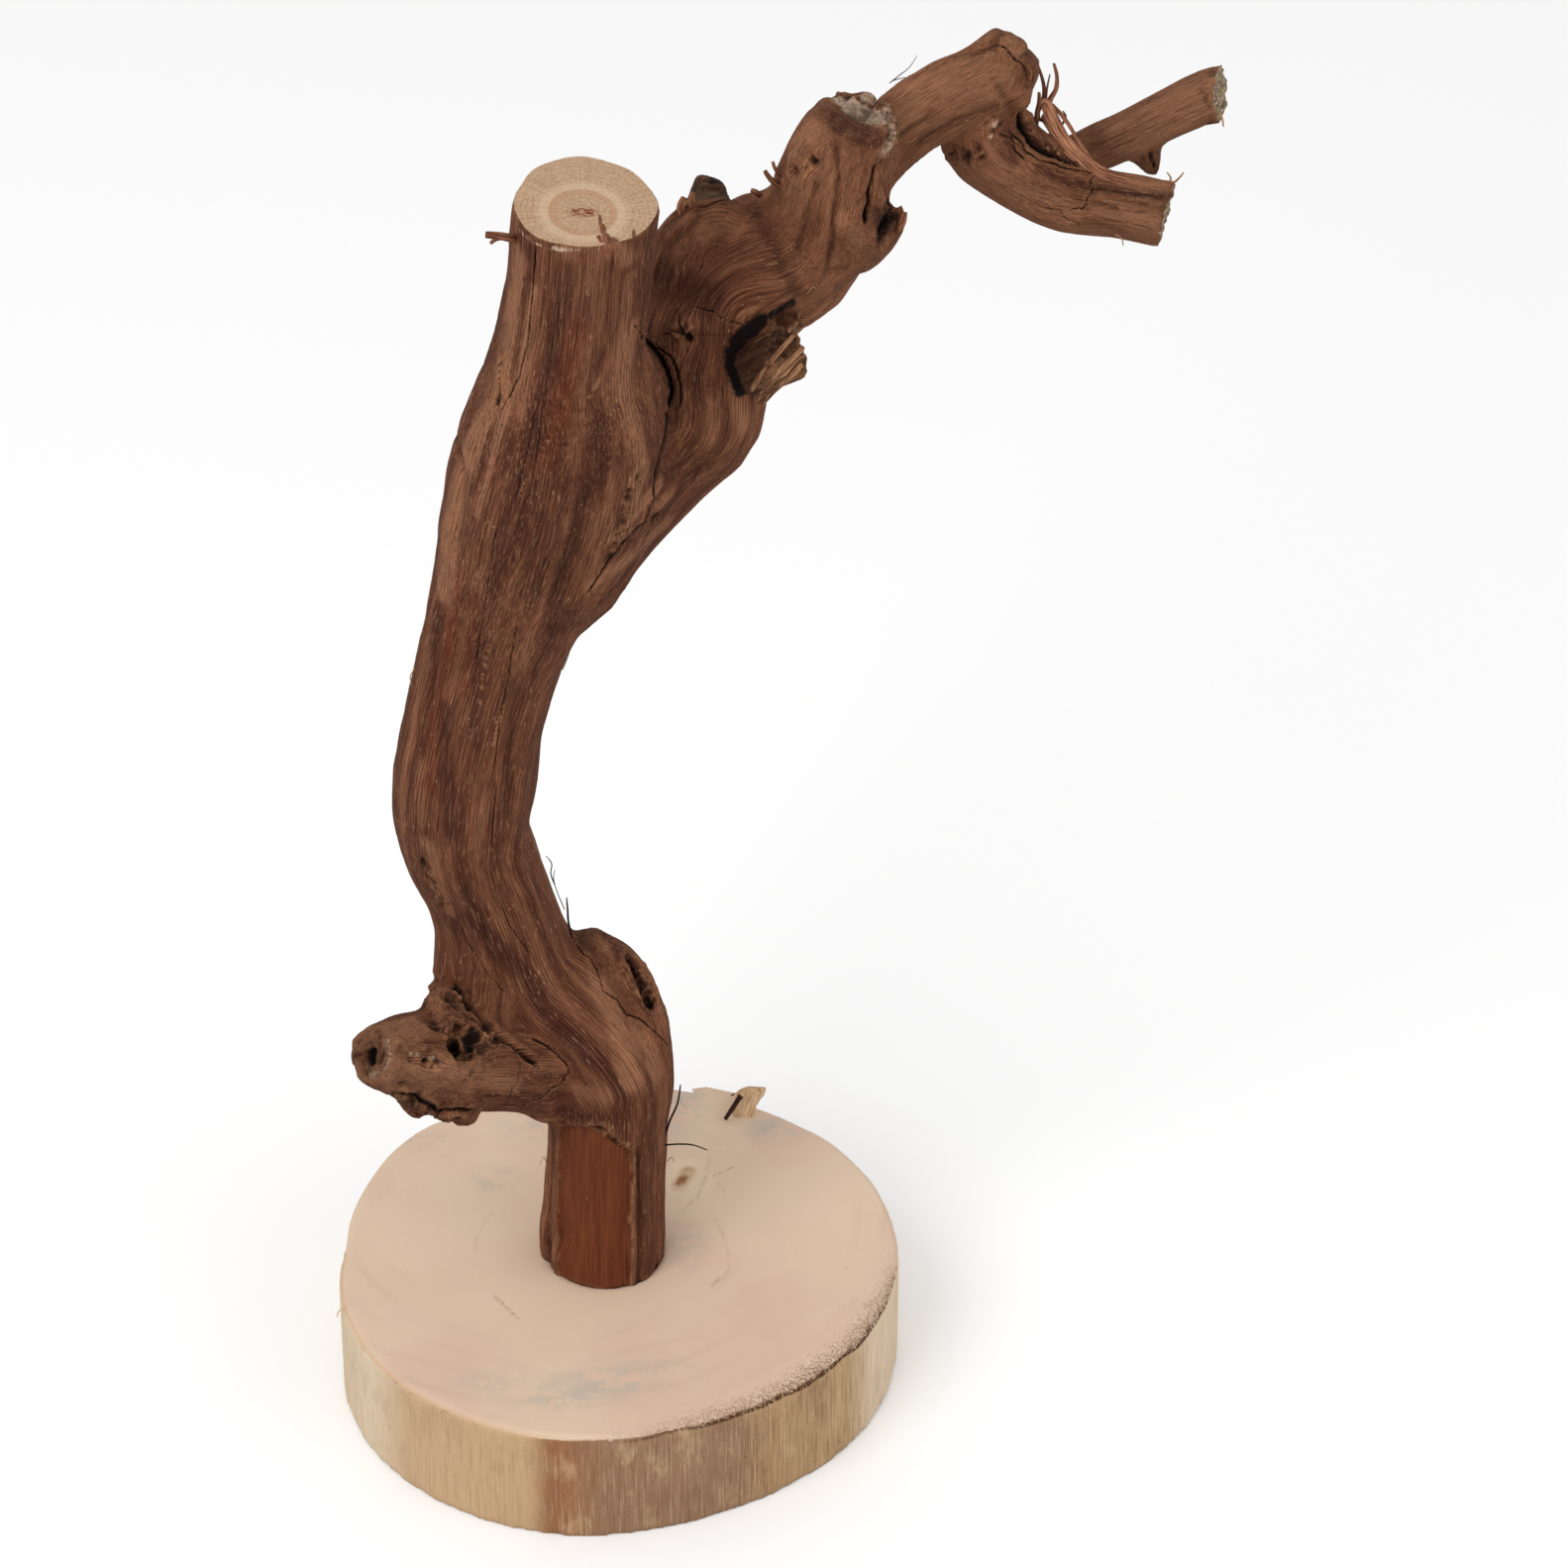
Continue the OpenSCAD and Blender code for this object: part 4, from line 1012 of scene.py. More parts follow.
def cut_end(piece, limb, rings, stretch):
    """Saws a limb's end off flat, a hair inside its CAD end, and divides the cut in rings."""
    points = points_of(piece)
    centre, away, radius = limb.end, limb.end_along, limb.radius[-1]
    offset = points - centre
    out = offset @ away
    close = np.linalg.norm(offset - out[:, None] * away, axis=1) < radius + 2 * mm
    points += (close * rise(out, -5 * mm, -1 * mm) * stretch)[:, None] * away
    move_points(piece, points)
    close = np.linalg.norm(centres_of(piece) - centre, axis=1) < radius + 5 * mm
    chosen_faces(piece, close)
    bpy.ops.mesh.bisect(plane_co=centre, plane_no=away, use_fill=True, clear_outer=True,
                        threshold=0.0001 * mm)
    bpy.ops.object.mode_set(mode="OBJECT")
    chosen_faces(piece, sawn_faces(piece, limb))
    for ring in range(rings, 1, -1):
        bpy.ops.mesh.extrude_region_move()
        bpy.ops.transform.resize(value=((ring - 1) / ring,) * 3, center_override=centre)
    bpy.ops.object.mode_set(mode="OBJECT")


# Faces are halved where the bark has fine shapes, then the three ends are sawn
centres = centres_of(branch)
busy = (crumbs.near(centres) > 0.35) | (cracks.beside(centres)[1] > 0.35)
busy |= dead.unrolled(centres)[1] < 2.4 * mm
chosen_faces(branch, busy)
bpy.ops.mesh.subdivide(number_cuts=1, smoothness=0)
bpy.ops.object.mode_set(mode="OBJECT")
sawn_limbs = [(stem, 14), (tip, 7), (twig, 6)]
for limb, _ in sawn_limbs:
    limb.end, limb.end_along = limb.line[-1] - limb.along[-1] * 0.1 * mm, limb.along[-1]
# The tip is sawn along the line of sight, so that its cut is seen only as an edge
tip.end = at_depth(1181, 213, tip.end)
edge = at_depth(1172, 246, tip.end) - at_depth(1190, 181, tip.end)
tip.end_along = np.cross(edge, tip.end - eye)
tip.end_along *= np.sign(tip.end_along[0]) / np.linalg.norm(tip.end_along)
# The twig is cut upright, a little towards the view, so that a sliver of its end is seen
to_eye = eye - twig.end
to_eye /= np.linalg.norm(to_eye)
edge = at_depth(1238, 124, twig.end) - at_depth(1240, 60, twig.end)
twig.end_along = np.cross(edge, to_eye)
twig.end_along *= np.sign(twig.end_along[0]) / np.linalg.norm(twig.end_along)
lean = 0.22
twig.end_along = (twig.end_along + lean * to_eye) / math.hypot(1, lean)
for limb, rings in sawn_limbs:
    cut_end(branch, limb, rings, 3.5 * mm if limb is twig else 1.4 * mm)
was_sawn = {limb: sawn_faces(branch, limb) for limb, _ in sawn_limbs}
points, normals = points_of(branch), normals_of(branch)
unrolled = {limb: limb.unrolled(points) for limb in limbs}
# Fibres bend round knots: the limb and the pixel of each knot, and its radius
knots = [(stub, 471, 1050, 5), (stub, 430, 1071, 3), (arm, 690, 337, 3.5), (knob, 820, 165, 2.2),
         (arm, 1001, 128, 2.5), (stem, 553, 1089, 3.5), (side_knob, 900, 207, 4),
         (arm, 770, 340, 8), (collar, 640, 990, 5), (stem, 505, 388, 1.5)]
for limb, x, y, size in knots:
    coords, gap, radius = unrolled[limb]
    place, _ = seen_at(x, y)
    (kx, ky, kz), = limb.unrolled(np.array([place]))[0]
    r, turn = np.hypot(coords[:, 0], coords[:, 1]), np.arctan2(coords[:, 1], coords[:, 0])
    swing = (turn - math.atan2(ky, kx) + math.pi) % (2 * math.pi) - math.pi
    spread = ((swing * radius) ** 2 + (coords[:, 2] - kz) ** 2) / (1.3 * (size * mm) ** 2)
    turn = turn - swing * 0.9 * np.exp(-spread)
    unrolled[limb] = (np.stack([r * np.cos(turn), r * np.sin(turn), coords[:, 2]], 1), gap, radius)

families = [[stem, knob, tip, back_stub, twig_stub], [arm, ridge, collar],
            [stub, shoulder, side_knob, dead, twig]]
gaps = np.stack([unrolled[limb][1] for limb in limbs], 1)
skin_gap = gaps.min(1)
nearest = gaps.argmin(1)
seen = pixels_of(points)
facing = turned_to_view(points, normals) > 0
# At the fork the stem's own fibres run up to the crack, and those of the arm beyond it
seam_path = [(646, 336), (659, 351), (668, 367), (675, 382), (678, 395), (677, 408), (676, 421),
             (675, 441), (669, 456), (665, 470), (663, 484), (660, 505), (652, 528), (640, 540),
             (627, 553), (618, 564), (604, 583), (591, 601)]
stem_side = [(430, 200), (662, 200), (660, 250), (652, 300)] + seam_path + [(560, 680), (400, 680)]
arm_side = seam_path + [(640, 640), (760, 520), (770, 420), (700, 345)]
# The seam between them is drawn as it is seen, since the bark turns away from the view there, and
# it is painted near black as shade
seam = inside(seen, stem_side) / np.interp(
    seen[:, 1], [338, 352, 400, 430, 460, 485, 505, 530, 560, 600],
    [1.2, 3.0, 2.4, 2.6, 2.4, 1.4, 0.6, 1.5, 1.4, 0.9])
seam = np.clip(np.where(facing & (seen[:, 1] > 338) & (seen[:, 1] < 600), seam, 9)
               + 0.5 * rough(points, 1.6 * mm), -9, 9)
coords, family_gaps = [], []
for family in families:
    each = np.stack([unrolled[limb][1] for limb in family], 1)
    choice = each.argmin(1)
    coords.append(np.stack([unrolled[limb][0] for limb in family])[choice, np.arange(len(points))])
    wrong_side = arm_side if family is families[0] else stem_side
    family_gaps.append(each.min(1) + facing * 12 * mm * rise(inside(seen, wrong_side), -2, 5))
shares = np.exp((np.min(family_gaps, 0) - family_gaps) / (0.7 * mm))
shares /= np.sum(shares, 0)


def fibrous(*sizes):
    """Noise that runs along the fibres of each limb."""
    return sum(share * rough(place, *sizes) for share, place in zip(shares, coords))


across, near_crack, crack_depth = cracks.beside(points)
across += 0.6 * rough(points, 2.2 * mm)
fold, near_fold, fold_depth = folds.beside(points)
crumbly = crumbs.near(points)
cut = np.zeros(len(points))
for limb, _ in sawn_limbs:
    out = (points - limb.end) @ limb.end_along
    close = np.linalg.norm(points - limb.end, axis=1) < limb.radius[-1] * 1.4 + 3 * mm
    cut = np.maximum(cut, close * rise(out, -1.2 * mm, -0.2 * mm))
# The mouths of the hollows, painted as dark wood and, deeper in, as shade
hollow = rise(-skin_gap, 0.8 * mm, 2.5 * mm) * np.minimum(1, 1.6 * sockets.near(points))
# The patch of the stem's foot from which the outer bark has come away
window = [(564, 1139), (584, 1136), (600, 1137), (613, 1140), (617, 1150), (625, 1154), (635, 1160),
          (639, 1180), (636, 1230), (637, 1310), (566, 1310), (562, 1235), (563, 1180)]
bare = np.where(facing & (points[:, 2] < slice_top + 45 * mm), inside(seen, window), -9)
bare = np.clip(bare + 2.0 * rough(points, 2.4 * mm), -9, 9)
bare_share = rise(bare, -1, 2)
smooth_bark = 1 - 0.75 * bare_share

ridges = 0.34 * mm * fibrous(2.6 * mm, 2.6 * mm, 60 * mm) + 0.14 * mm * fibrous(
    1.3 * mm, 1.3 * mm, 24 * mm)
lift = ridges * smooth_bark + 0.35 * mm * rough(points, 8 * mm)
crumble = crumbly * (
    2.4 * (0.20 - np.abs(rough(points, 4.2 * mm))) + 2.0 * (0.18 - np.abs(rough(points, 2.2 * mm)))
    + 0.4 * rough(points, 1.1 * mm))
lift += crumble * mm
lift -= near_crack * crack_depth * mm * np.exp(-across ** 2)
lift -= 0.9 * mm * np.exp(-seam ** 2)
lift += near_crack * crack_depth * 0.3 * mm * np.exp(-(np.abs(across) - 2.2) ** 2)
lift -= near_fold * fold_depth * mm * np.exp(-fold ** 2)
lift -= 0.6 * mm * bare_share
bare_rim = np.exp(-((bare + 2.5) / 2.5) ** 2) * (bare > -8.9) * rise(seen[:, 0], 575, 605) * (
    0.5 + 1.5 * np.abs(rough(points, 2 * mm)))
lift += 0.25 * mm * bare_rim
dented = dents.near(points)
lift += (bumps.near(points) - dented) * mm
lift += hollow * 0.5 * mm * rough(points, 1.6 * mm)
splinter = (nearest == limbs.index(dead)) * 1.0
lift += splinter * 0.5 * mm * fibrous(1.3 * mm, 1.3 * mm, 9 * mm)
flat = points.copy()
points += (lift * (1 - cut))[:, None] * normals
end = (points - dead.line[-1]) @ dead.along[-1]
points += (splinter * rise(end, -3 * mm, 0 * mm) * mm * (
    0.9 * fibrous(1.1 * mm, 1.1 * mm, 60 * mm) - 0.5))[:, None] * dead.along[-1]

# The tip's and the twig's ends are a little broken
for limb in (tip, twig):
    out = (points - limb.end) @ limb.end_along
    close = np.linalg.norm(points - limb.end, axis=1) < limb.radius[-1] * 1.4 + 1 * mm
    points -= (close * np.exp(-(out / (0.7 * mm)) ** 2) * 1.1 * mm * (
        0.5 + rough(points, 1.5 * mm)))[:, None] * limb.end_along

# The foot stands flat on the slice, round the tenon that sits in its socket
radial = np.hypot(points[:, 0], points[:, 1])
seat_z = slice_top + 0.02 * mm
sunk = (radial > seat_r) & (points[:, 2] < seat_z)
points[sunk, 2] = seat_z
# Nothing stands out of the CAD's box
margin = 0.05 * mm
points = np.clip(points, np.array(cad_lo) + margin, np.array(cad_hi) - margin)
move_points(branch, points)

edges = np.zeros(2 * len(branch.data.edges), int)
branch.data.edges.foreach_get("vertices", edges)
one, other = edges.reshape(-1, 2).T
pull, count = np.zeros_like(points), np.zeros(len(points))
np.add.at(pull, one, points[other] - points[one])
np.add.at(pull, other, points[one] - points[other])
np.add.at(count, edges, 1)
# How far each point lies below (above 0) or over (below 0) the points round it
cavity = np.sum(pull * normals_of(branch), 1) / np.maximum(count, 1) / (0.10 * mm)

for name, trace in (("purple", purple), ("red", red), ("tan", tan), ("pale", pale),
                    ("grey", grey), ("pocket", pocket)):
    mark(branch, name, trace.near(flat))
for name, values in {
        "grain_a": coords[0], "grain_b": coords[1], "grain_c": coords[2],
        "share_b": shares[1], "share_c": shares[2],
        "crack": across, "crack_near": near_crack, "crack_depth": crack_depth,
        "fold": near_fold * fold_depth * np.exp(-fold ** 2), "crumb": crumbly,
        "crumble": crumble, "hollow": hollow, "deep": rise(-skin_gap, 2 * mm, 4.5 * mm),
        "bare": bare, "bare_rim": bare_rim, "cavity": np.clip(cavity, -2, 2),
        "dent": dented, "seam": seam, "splinter": splinter,
        "end": np.stack([unrolled[limb][0] for limb in limbs])[
            nearest, np.arange(len(points))]}.items():
    mark(branch, name, values)
round_off(branch, 50)

bark, wire, shader = finish("vine_bark", 0.82, 0.12)
place, stored = wire.here(), wire.stored
grains = [stored("grain_" + name, 1) for name in "abc"]
share_b, share_c = stored("share_b"), stored("share_c")
grain_shares = [1 - share_b - share_c, share_b, share_c]


def grown(across, along, detail=3.0, roughness=0.6):
    """Noise along the fibres, of a width and a length in millimetres."""
    return sum(share * grain.stretched((across * mm, across * mm, along * mm)).mottle(
        detail, roughness) for share, grain in zip(grain_shares, grains))


# Even ribs along the fibres, so many round each limb, that waver a little
rib_count, waver_turns = 128, 16
ribs = 0
for share, grain in zip(grain_shares, grains):
    turn = grain.sum("ARCTAN2", grain.part("Y"), grain.part("X"))
    waver = grain.stretched((4 * mm, 4 * mm, 40 * mm)).mottle(2) * waver_turns
    ribs = share * turn.sum("SINE", turn * rib_count + waver) + ribs
streaks = grown(3.4, 90, 1.5, 0.5)
fibres = grown(0.36, 9, 4.0, 0.7)
strings = grown(0.9, 26, 3.0, 0.6)
flakes = grown(0.42, 2.4, 2.0, 0.55)
clouds = place.stretched((9 * mm,) * 3).mottle(3)
grit = place.stretched((0.8 * mm,) * 3).mottle(3, 0.7)
even = clouds.bend(0.4, 0.6)
# The arm is more faded than the stem, and the twig's thin bark is tan
faded = place.part("X").bend(12 * mm, 70 * mm)
colour = (streaks + clouds * 0.3 - 0.15).ramp([
    (0.30, tint(88, 48, 32)), (0.44, tint(110, 64, 44)), (0.56, tint(130, 80, 56)),
    (0.70, tint(156, 102, 74))]).under((faded * 0.5, (178, 120, 85)))
shift = streaks * 1.2 - 0.6
tinted = {}
for name, strength, shade in (("purple", 0.85, (80, 41, 31)), ("red", 0.6, (124, 60, 37)),
                              ("tan", 0.85, (180, 124, 91)), ("grey", 0.9, (84, 68, 56))):
    traced = stored(name)
    tinted[name] = (traced + traced * shift).bend(0.1, 0.8)
    colour = colour.under((tinted[name] * strength, shade))

hollow, crumble, wear_and_cavity_shade = stored("hollow"), stored("crumble"), stored("cavity")
bare_mask = stored("bare").bend(-0.4, 0.6)
bare_colour = grown(0.7, 16).bend(0.3, 0.7).blend(tint(98, 49, 27), tint(118, 64, 38)).under(
    ((1 - fibres.bend(0.36, 0.5)) * 0.25, (74, 36, 20)),
    (flakes.bend(0.68, 0.74) * 0.4, (172, 120, 86)))
crumb_mask = stored("crumb").bend(0.2, 0.8)
crumb_colour = grit.bend(0.35, 0.65).blend(tint(62, 34, 23), tint(150, 102, 70))
# The dead stub's wood, with darker wood and painted shade on its upper side where the purple rows
# cross it
dead_wood = grown(0.7, 14).bend(0.38, 0.6).blend(tint(74, 46, 32), tint(158, 108, 74)).under(
    (tinted["purple"] * 0.75, (62, 38, 29)),
    (tinted["tan"] * fibres.bend(0.38, 0.5) * 0.8, (184, 134, 96)))
pale_mask = (stored("pale") + grit * 0.5 - 0.25).bend(0.25, 0.7)
pale_colour = grit.bend(0.3, 0.7).blend(tint(166, 132, 108), tint(236, 210, 184))
# Inside the hollows: dark wood with painted shade
hollow_wood_and_shade = grit.bend(0.35, 0.65).blend(tint(44, 23, 15), tint(112, 68, 46))
crack = stored("crack").sum("ABSOLUTE", stored("crack")) + grit * 0.8 - 0.4
breaks = grown(2.5, 7, 2.0)
crack_shade = ((1 - crack.bend(0.35, 1.0)) * stored("crack_near").bend(0.3, 0.55)
              * (stored("crack_depth") * 0.7 + breaks * 1.5 - 0.75).bend(0.0, 0.75))
seam = stored("seam").sum("ABSOLUTE", stored("seam")) + grit * 0.6 - 0.3
colour = colour.under(
    ((1 - strings.bend(0.34, 0.47)) * 0.2, (62, 33, 22)),
    (ribs.bend(-0.2, 0.9) * (0.16 + even * 0.34), (54, 29, 20)),
    ((1 - fibres.bend(0.38, 0.48)) * 0.56, (48, 25, 16)),
    (fibres.bend(0.52, 0.66) * 0.4, (186, 134, 98)),
    (flakes.bend(0.65, 0.71) * (0.3 + even * 0.45), (200, 152, 114)),
    ((1 - flakes.bend(0.26, 0.32)) * 0.4, (40, 21, 14)),
    # painted shade in the folds
    (stored("fold") * 0.25, (48, 26, 18)),
    (bare_mask, bare_colour),
    (stored("bare_rim") * flakes.bend(0.4, 0.55) * 0.5, (166, 116, 82)),
    (crumb_mask * 0.6, crumb_colour),
    # painted shade in the low places of the crumbled bark, and painted highlight on its high ones
    ((1 - crumble.bend(-0.7, 0.1)) * 0.75, (38, 19, 13)),
    (crumble.bend(0.25, 0.9) * 0.4, (170, 118, 82)),
    (stored("splinter") * 0.9, dead_wood),
    (pale_mask * 0.9, pale_colour),
    # the hollows' dark wood, and painted shade deeper in them
    (hollow * 0.85, hollow_wood_and_shade),
    (hollow * stored("deep") * 0.9, (20, 11, 8)),
    # painted shade: the gap round the dead stub's foot is painted near black
    ((stored("pocket") + grit * 0.4 - 0.2).bend(0.3, 0.7), (20, 12, 9)),
    # painted shade in the pits
    ((stored("dent") + grit * 0.6 - 0.3).bend(0.55, 1.3) * 0.95, (20, 11, 8)),
    # painted shade where the skin lies below its neighbours, and painted highlight where it stands
    # over them
    (wear_and_cavity_shade.bend(0.15, 1.4) * 0.45, (40, 21, 14)),
    ((1 - wear_and_cavity_shade.bend(-1.4, -0.2)) * 0.2, (184, 134, 98)),
    # painted shade in the cracks and along the fork's seam
    (crack_shade, (24, 13, 9)),
    ((1 - seam.bend(0.4, 2.6)) * 0.5, (54, 29, 20)),
    (1 - seam.bend(0.3, 0.95), (20, 11, 8)))
feed(colour, shader, "Base Color")
bump((fibres * 0.9 - ribs * 0.18 + strings * 0.35) * (1 - bare_mask * 0.7)
     + streaks * 0.2 + crumb_mask * grit * 0.9 + flakes * 0.25 - crack_shade * 0.8,
     shader, 1.0, 0.7 * mm)


def on_end(x, y):
    """The place on the stem's sawn end at a pixel, as the end attribute gives it."""
    return tuple(stem.unrolled(np.array([seen_at(x, y)[0]]))[0][0])


# The sawn end of the stem: pale wood with pores, rays and rings round the pith, and small
# red tears towards its front edge
end_wood, wire, shader = finish("sawn_end", 0.8, 0.2)
end_place = wire.stored("end", 1)
pith = on_end(588, 214)
pores = end_place.stretched((0.55 * mm, 0.55 * mm, 4 * mm)).mottle(3, 0.75)
shade = end_place.stretched((9 * mm,) * 3).mottle(2)
centred = end_place.stretched((1, 1, 1000), pith)
turned = centred.sum("ARCTAN2", centred.part("Y"), centred.part("X"))
out = centred.length()
rays = wire.node("ShaderNodeCombineXYZ", None, {
    0: turned * 40, 1: out / (14 * mm), 2: 0.0}).mottle(2, 0.6)
ring = out.sum("SINE", out / (0.17 * mm) + shade * 5)
halo = out.bend(6.2 * mm, 6.8 * mm) * (1 - out.bend(7.4 * mm, 9.5 * mm))
inner_ring = out.bend(4.9 * mm, 5.6 * mm) * (1 - out.bend(5.9 * mm, 6.4 * mm))
dashes = end_place.stretched((0.45 * mm, 1.2 * mm, 4 * mm)).mottle(2, 0.6)
heart = end_place.spot(pith, (1.7 * mm, 3.8 * mm, 9 * mm), 0.5)
end_colour = pores.bend(0.36, 0.64).blend(tint(166, 134, 104), tint(196, 165, 136)).under(
    (shade.bend(0.35, 0.7) * 0.35, (172, 138, 106)),
    (rays.bend(0.5, 0.66) * 0.35, (212, 182, 152)),
    ((1 - rays.bend(0.36, 0.5)) * 0.25, (142, 106, 76)),
    (ring.bend(0.0, 1.0) * 0.16, (138, 100, 70)),
    (halo * 0.45, (212, 184, 156)),
    (inner_ring * pores.bend(0.35, 0.55) * 0.5, (180, 128, 90)),
    (heart * (0.2 + dashes.bend(0.44, 0.54) * 0.8), (118, 58, 36)))
tears = [(606, 222, 0.5), (609, 231, 0.8), (613, 241, 1.2), (618, 251, 1.8), (640, 240, 0.6)]
for x, y, size in tears:
    tear = end_place.spot(on_end(x, y), (2.4 * mm, size * mm, 9 * mm), 0.7)
    end_colour = end_colour.under(((tear + dashes - 0.5).bend(0.25, 0.6) * 0.9, (98, 56, 38)))
feed(end_colour, shader, "Base Color")
bump(pores, shader, 0.7, 0.3 * mm)

# The broken ends of the tip and the twig: grey and cream splinters
broken_wood, wire, shader = finish("broken_end", 0.9)
grit = wire.here().stretched((0.9 * mm,) * 3).mottle(4, 0.7)
feed(grit.ramp([(0.34, tint(58, 52, 42)), (0.46, tint(120, 108, 86)),
                (0.56, tint(176, 152, 120)), (0.68, tint(220, 196, 160))]), shader, "Base Color")
bump(grit, shader, 1.0, 0.6 * mm)

for material in (bark, end_wood, broken_wood):
    branch.data.materials.append(material)
faces = np.zeros(len(branch.data.polygons), int)
for limb, _ in sawn_limbs:
    faces[was_sawn[limb]] = 1 if limb is stem else 2
branch.data.polygons.foreach_set("material_index", faces)
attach(branch, "root")
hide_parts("branch")


# Loose bark and fibres: strips that peel from the elbow and the tip, a broken sprig at the
# stem's top, flakes along the arm and hairs where the bark frays. Each row gives a width and
# a thickness in millimetres, a twist in degrees and its pixels, with how much nearer it is.
def strands(name, material, rows, taper=0.35, node="branch", lying=False):
    """Thin flat strips that start on the wood, or lie on it, as one closed piece."""
    sides, rows_between = 6, 4
    corners, strips, faces = [], [], []
    for width, thick, twist, *stops in rows:
        path = []
        root = seen_at(*stops[0][:2])[0] if node == "branch" else on_top(*stops[0][:2])
        for x, y, *near in stops:
            place = at_depth(x, y, root)
            if lying:
                place = np.array(seen_at(x, y)[0] if node == "branch" else on_top(x, y))
            towards = eye - place
            path.append(place + towards / np.linalg.norm(towards) * sum(near) * mm)
        path = smooth_line(np.array(path), rows_between)
        far = np.concatenate([[0], np.cumsum(np.linalg.norm(np.diff(path, axis=0), axis=1))])
        for i, (place, ahead) in enumerate(zip(path, np.gradient(path, axis=0))):
            side = np.cross(ahead, eye - place)
            side /= np.linalg.norm(side)
            up = np.cross(side, ahead)
            up /= np.linalg.norm(up)
            share = i / (len(path) - 1)
            size = (1 - (1 - taper) * share ** 2) * (1 + 0.15 * noise.noise(place / (2 * mm)))
            turn = math.radians(twist) * (0.3 + share)
            for step in range(sides):
                a, b = math.cos(step * math.tau / sides), math.sin(step * math.tau / sides)
                a, b = a * width / 2 * size * mm, b * thick / 2 * size * mm
                corners.append(place + (a * math.cos(turn) - b * math.sin(turn)) * side
                               + (a * math.sin(turn) + b * math.cos(turn)) * up)
                strips.append((a, b, far[i] + len(rows) * width * mm + root[0]))
            first = len(corners) - sides
            if i:
                faces += [(first + k, first + (k + 1) % sides,
                           first - sides + (k + 1) % sides, first - sides + k)
                          for k in range(sides)]
            if i in (0, len(path) - 1):
                faces.append(tuple(range(first, first + sides)))
    mesh = bpy.data.meshes.new(name)
    mesh.from_pydata(corners, [], faces)
    piece = bpy.data.objects.new(name, mesh)
    bpy.context.collection.objects.link(piece)
    only(piece)
    bpy.ops.object.mode_set(mode="EDIT")
    bpy.ops.mesh.select_all(action="SELECT")
    bpy.ops.mesh.normals_make_consistent(inside=False)
    bpy.ops.object.mode_set(mode="OBJECT")
    mark(piece, "strip", np.array(strips))
    round_off(piece, 40)
    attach(piece, "root")
    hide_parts(node)
    piece.data.materials.append(material)


def strip_finish(name, *colours):
    """A material for strips, mottled along them from its first colour to its last."""
    material, wire, shader = finish(name, 0.85, 0.2)
    grit = wire.stored("strip", 1).stretched((0.3 * mm, 0.3 * mm, 5 * mm)).mottle(3, 0.65)
    feed(grit.ramp([(0.35 + 0.3 * i / (len(colours) - 1), tint(*colour))
                    for i, colour in enumerate(colours)]), shader, "Base Color")
    bump(grit, shader, 0.8, 0.2 * mm)
    return material


loose_bark = strip_finish("loose_bark", (66, 36, 24), (112, 68, 46), (162, 112, 80))
faded_bark = strip_finish("faded_bark", (80, 44, 30), (136, 88, 64), (178, 128, 96))
dark_fibre_and_shade = strip_finish("dark_fibre_and_shade", (34, 18, 12), (62, 36, 26))
pale_fibre = strip_finish("pale_fibre", (138, 96, 66), (196, 152, 114))

strands("elbow_strips", loose_bark, [
    (1.1, 0.4, 40, (1048, 122, -1), (1048, 112, 1), (1053, 101, 2), (1054, 88, 2), (1050, 72, 2),
     (1045, 60, 0)),
    (1.5, 0.4, -40, (1060, 124, -1), (1059, 112, 2), (1060, 101, 3), (1066, 90, 3), (1067, 77, 2),
     (1064, 64, 1)),
    (0.5, 0.3, 0, (1056, 120, -1), (1056, 104, 2), (1057, 90, 3), (1060, 75, 3)),
    (1.0, 0.4, 20, (1046, 126, -1), (1047, 114, 1), (1049, 102, 2), (1049, 93, 2)),
    (0.5, 0.3, 20, (1072, 126, -1), (1076, 118, 2), (1073, 112, 3)),
    (1.5, 0.5, 70, (1040, 80, -1), (1041, 74, 1), (1038, 68, 1), (1034, 66, 0))], taper=0.6)
strands("tip_ribbon", faded_bark, [
    (2.6, 0.45, 20, (1052, 108, -1), (1056, 106, 1), (1062, 118, 2), (1070, 134, 2), (1082, 149, 2),
     (1092, 159, 2), (1103, 168, 1), (1114, 175, 1), (1132, 181, 0), (1160, 185, -1),
     (1186, 187, -2)),
    (1.8, 0.4, -20, (1052, 118, -1), (1057, 122, 2), (1067, 138, 3), (1080, 154, 3),
     (1094, 166, 2), (1106, 176, 1), (1120, 183, 0), (1150, 188, -1)),
    (0.9, 0.35, -30, (1062, 106, -1), (1070, 114, 1), (1079, 126, 2), (1088, 141, 2),
     (1098, 156, 1), (1108, 168, 0)),
    (0.7, 0.3, 30, (1060, 134, -1), (1070, 147, 3), (1082, 160, 3), (1096, 171, 1))], taper=0.7)
strands("stem_sprig", loose_bark, [
    (1.7, 1.3, 0, (523, 241, -2), (514, 240, 0), (503, 238, 0), (490, 237, 0)),
    (0.8, 0.6, 0, (508, 240, 0), (500, 242, 1), (495, 246, 1))], taper=0.8)
strands("arm_flakes", loose_bark, [
    (1.2, 0.5, 0, (790, 190, -2), (781, 184, 0), (775, 177, 0), (772, 172, 0)),
    (0.9, 0.4, 0, (790, 178, -2), (783, 171, 0), (780, 163, 0)),
    (1.3, 0.5, 0, (770, 200, -2), (763, 194, 0), (758, 192, 0)),
    (1.8, 0.6, 0, (692, 222, -2), (687, 210, 0), (691, 199, 0)),
    (1.5, 0.6, 0, (704, 214, -2), (698, 204, 0), (700, 194, 0)),
    (1.4, 0.5, 0, (904, 238, -2), (911, 226, 0), (914, 214, 0))], taper=0.6)
dead_fibre = strip_finish("dead_wood", (84, 52, 36), (138, 96, 68), (186, 140, 104))
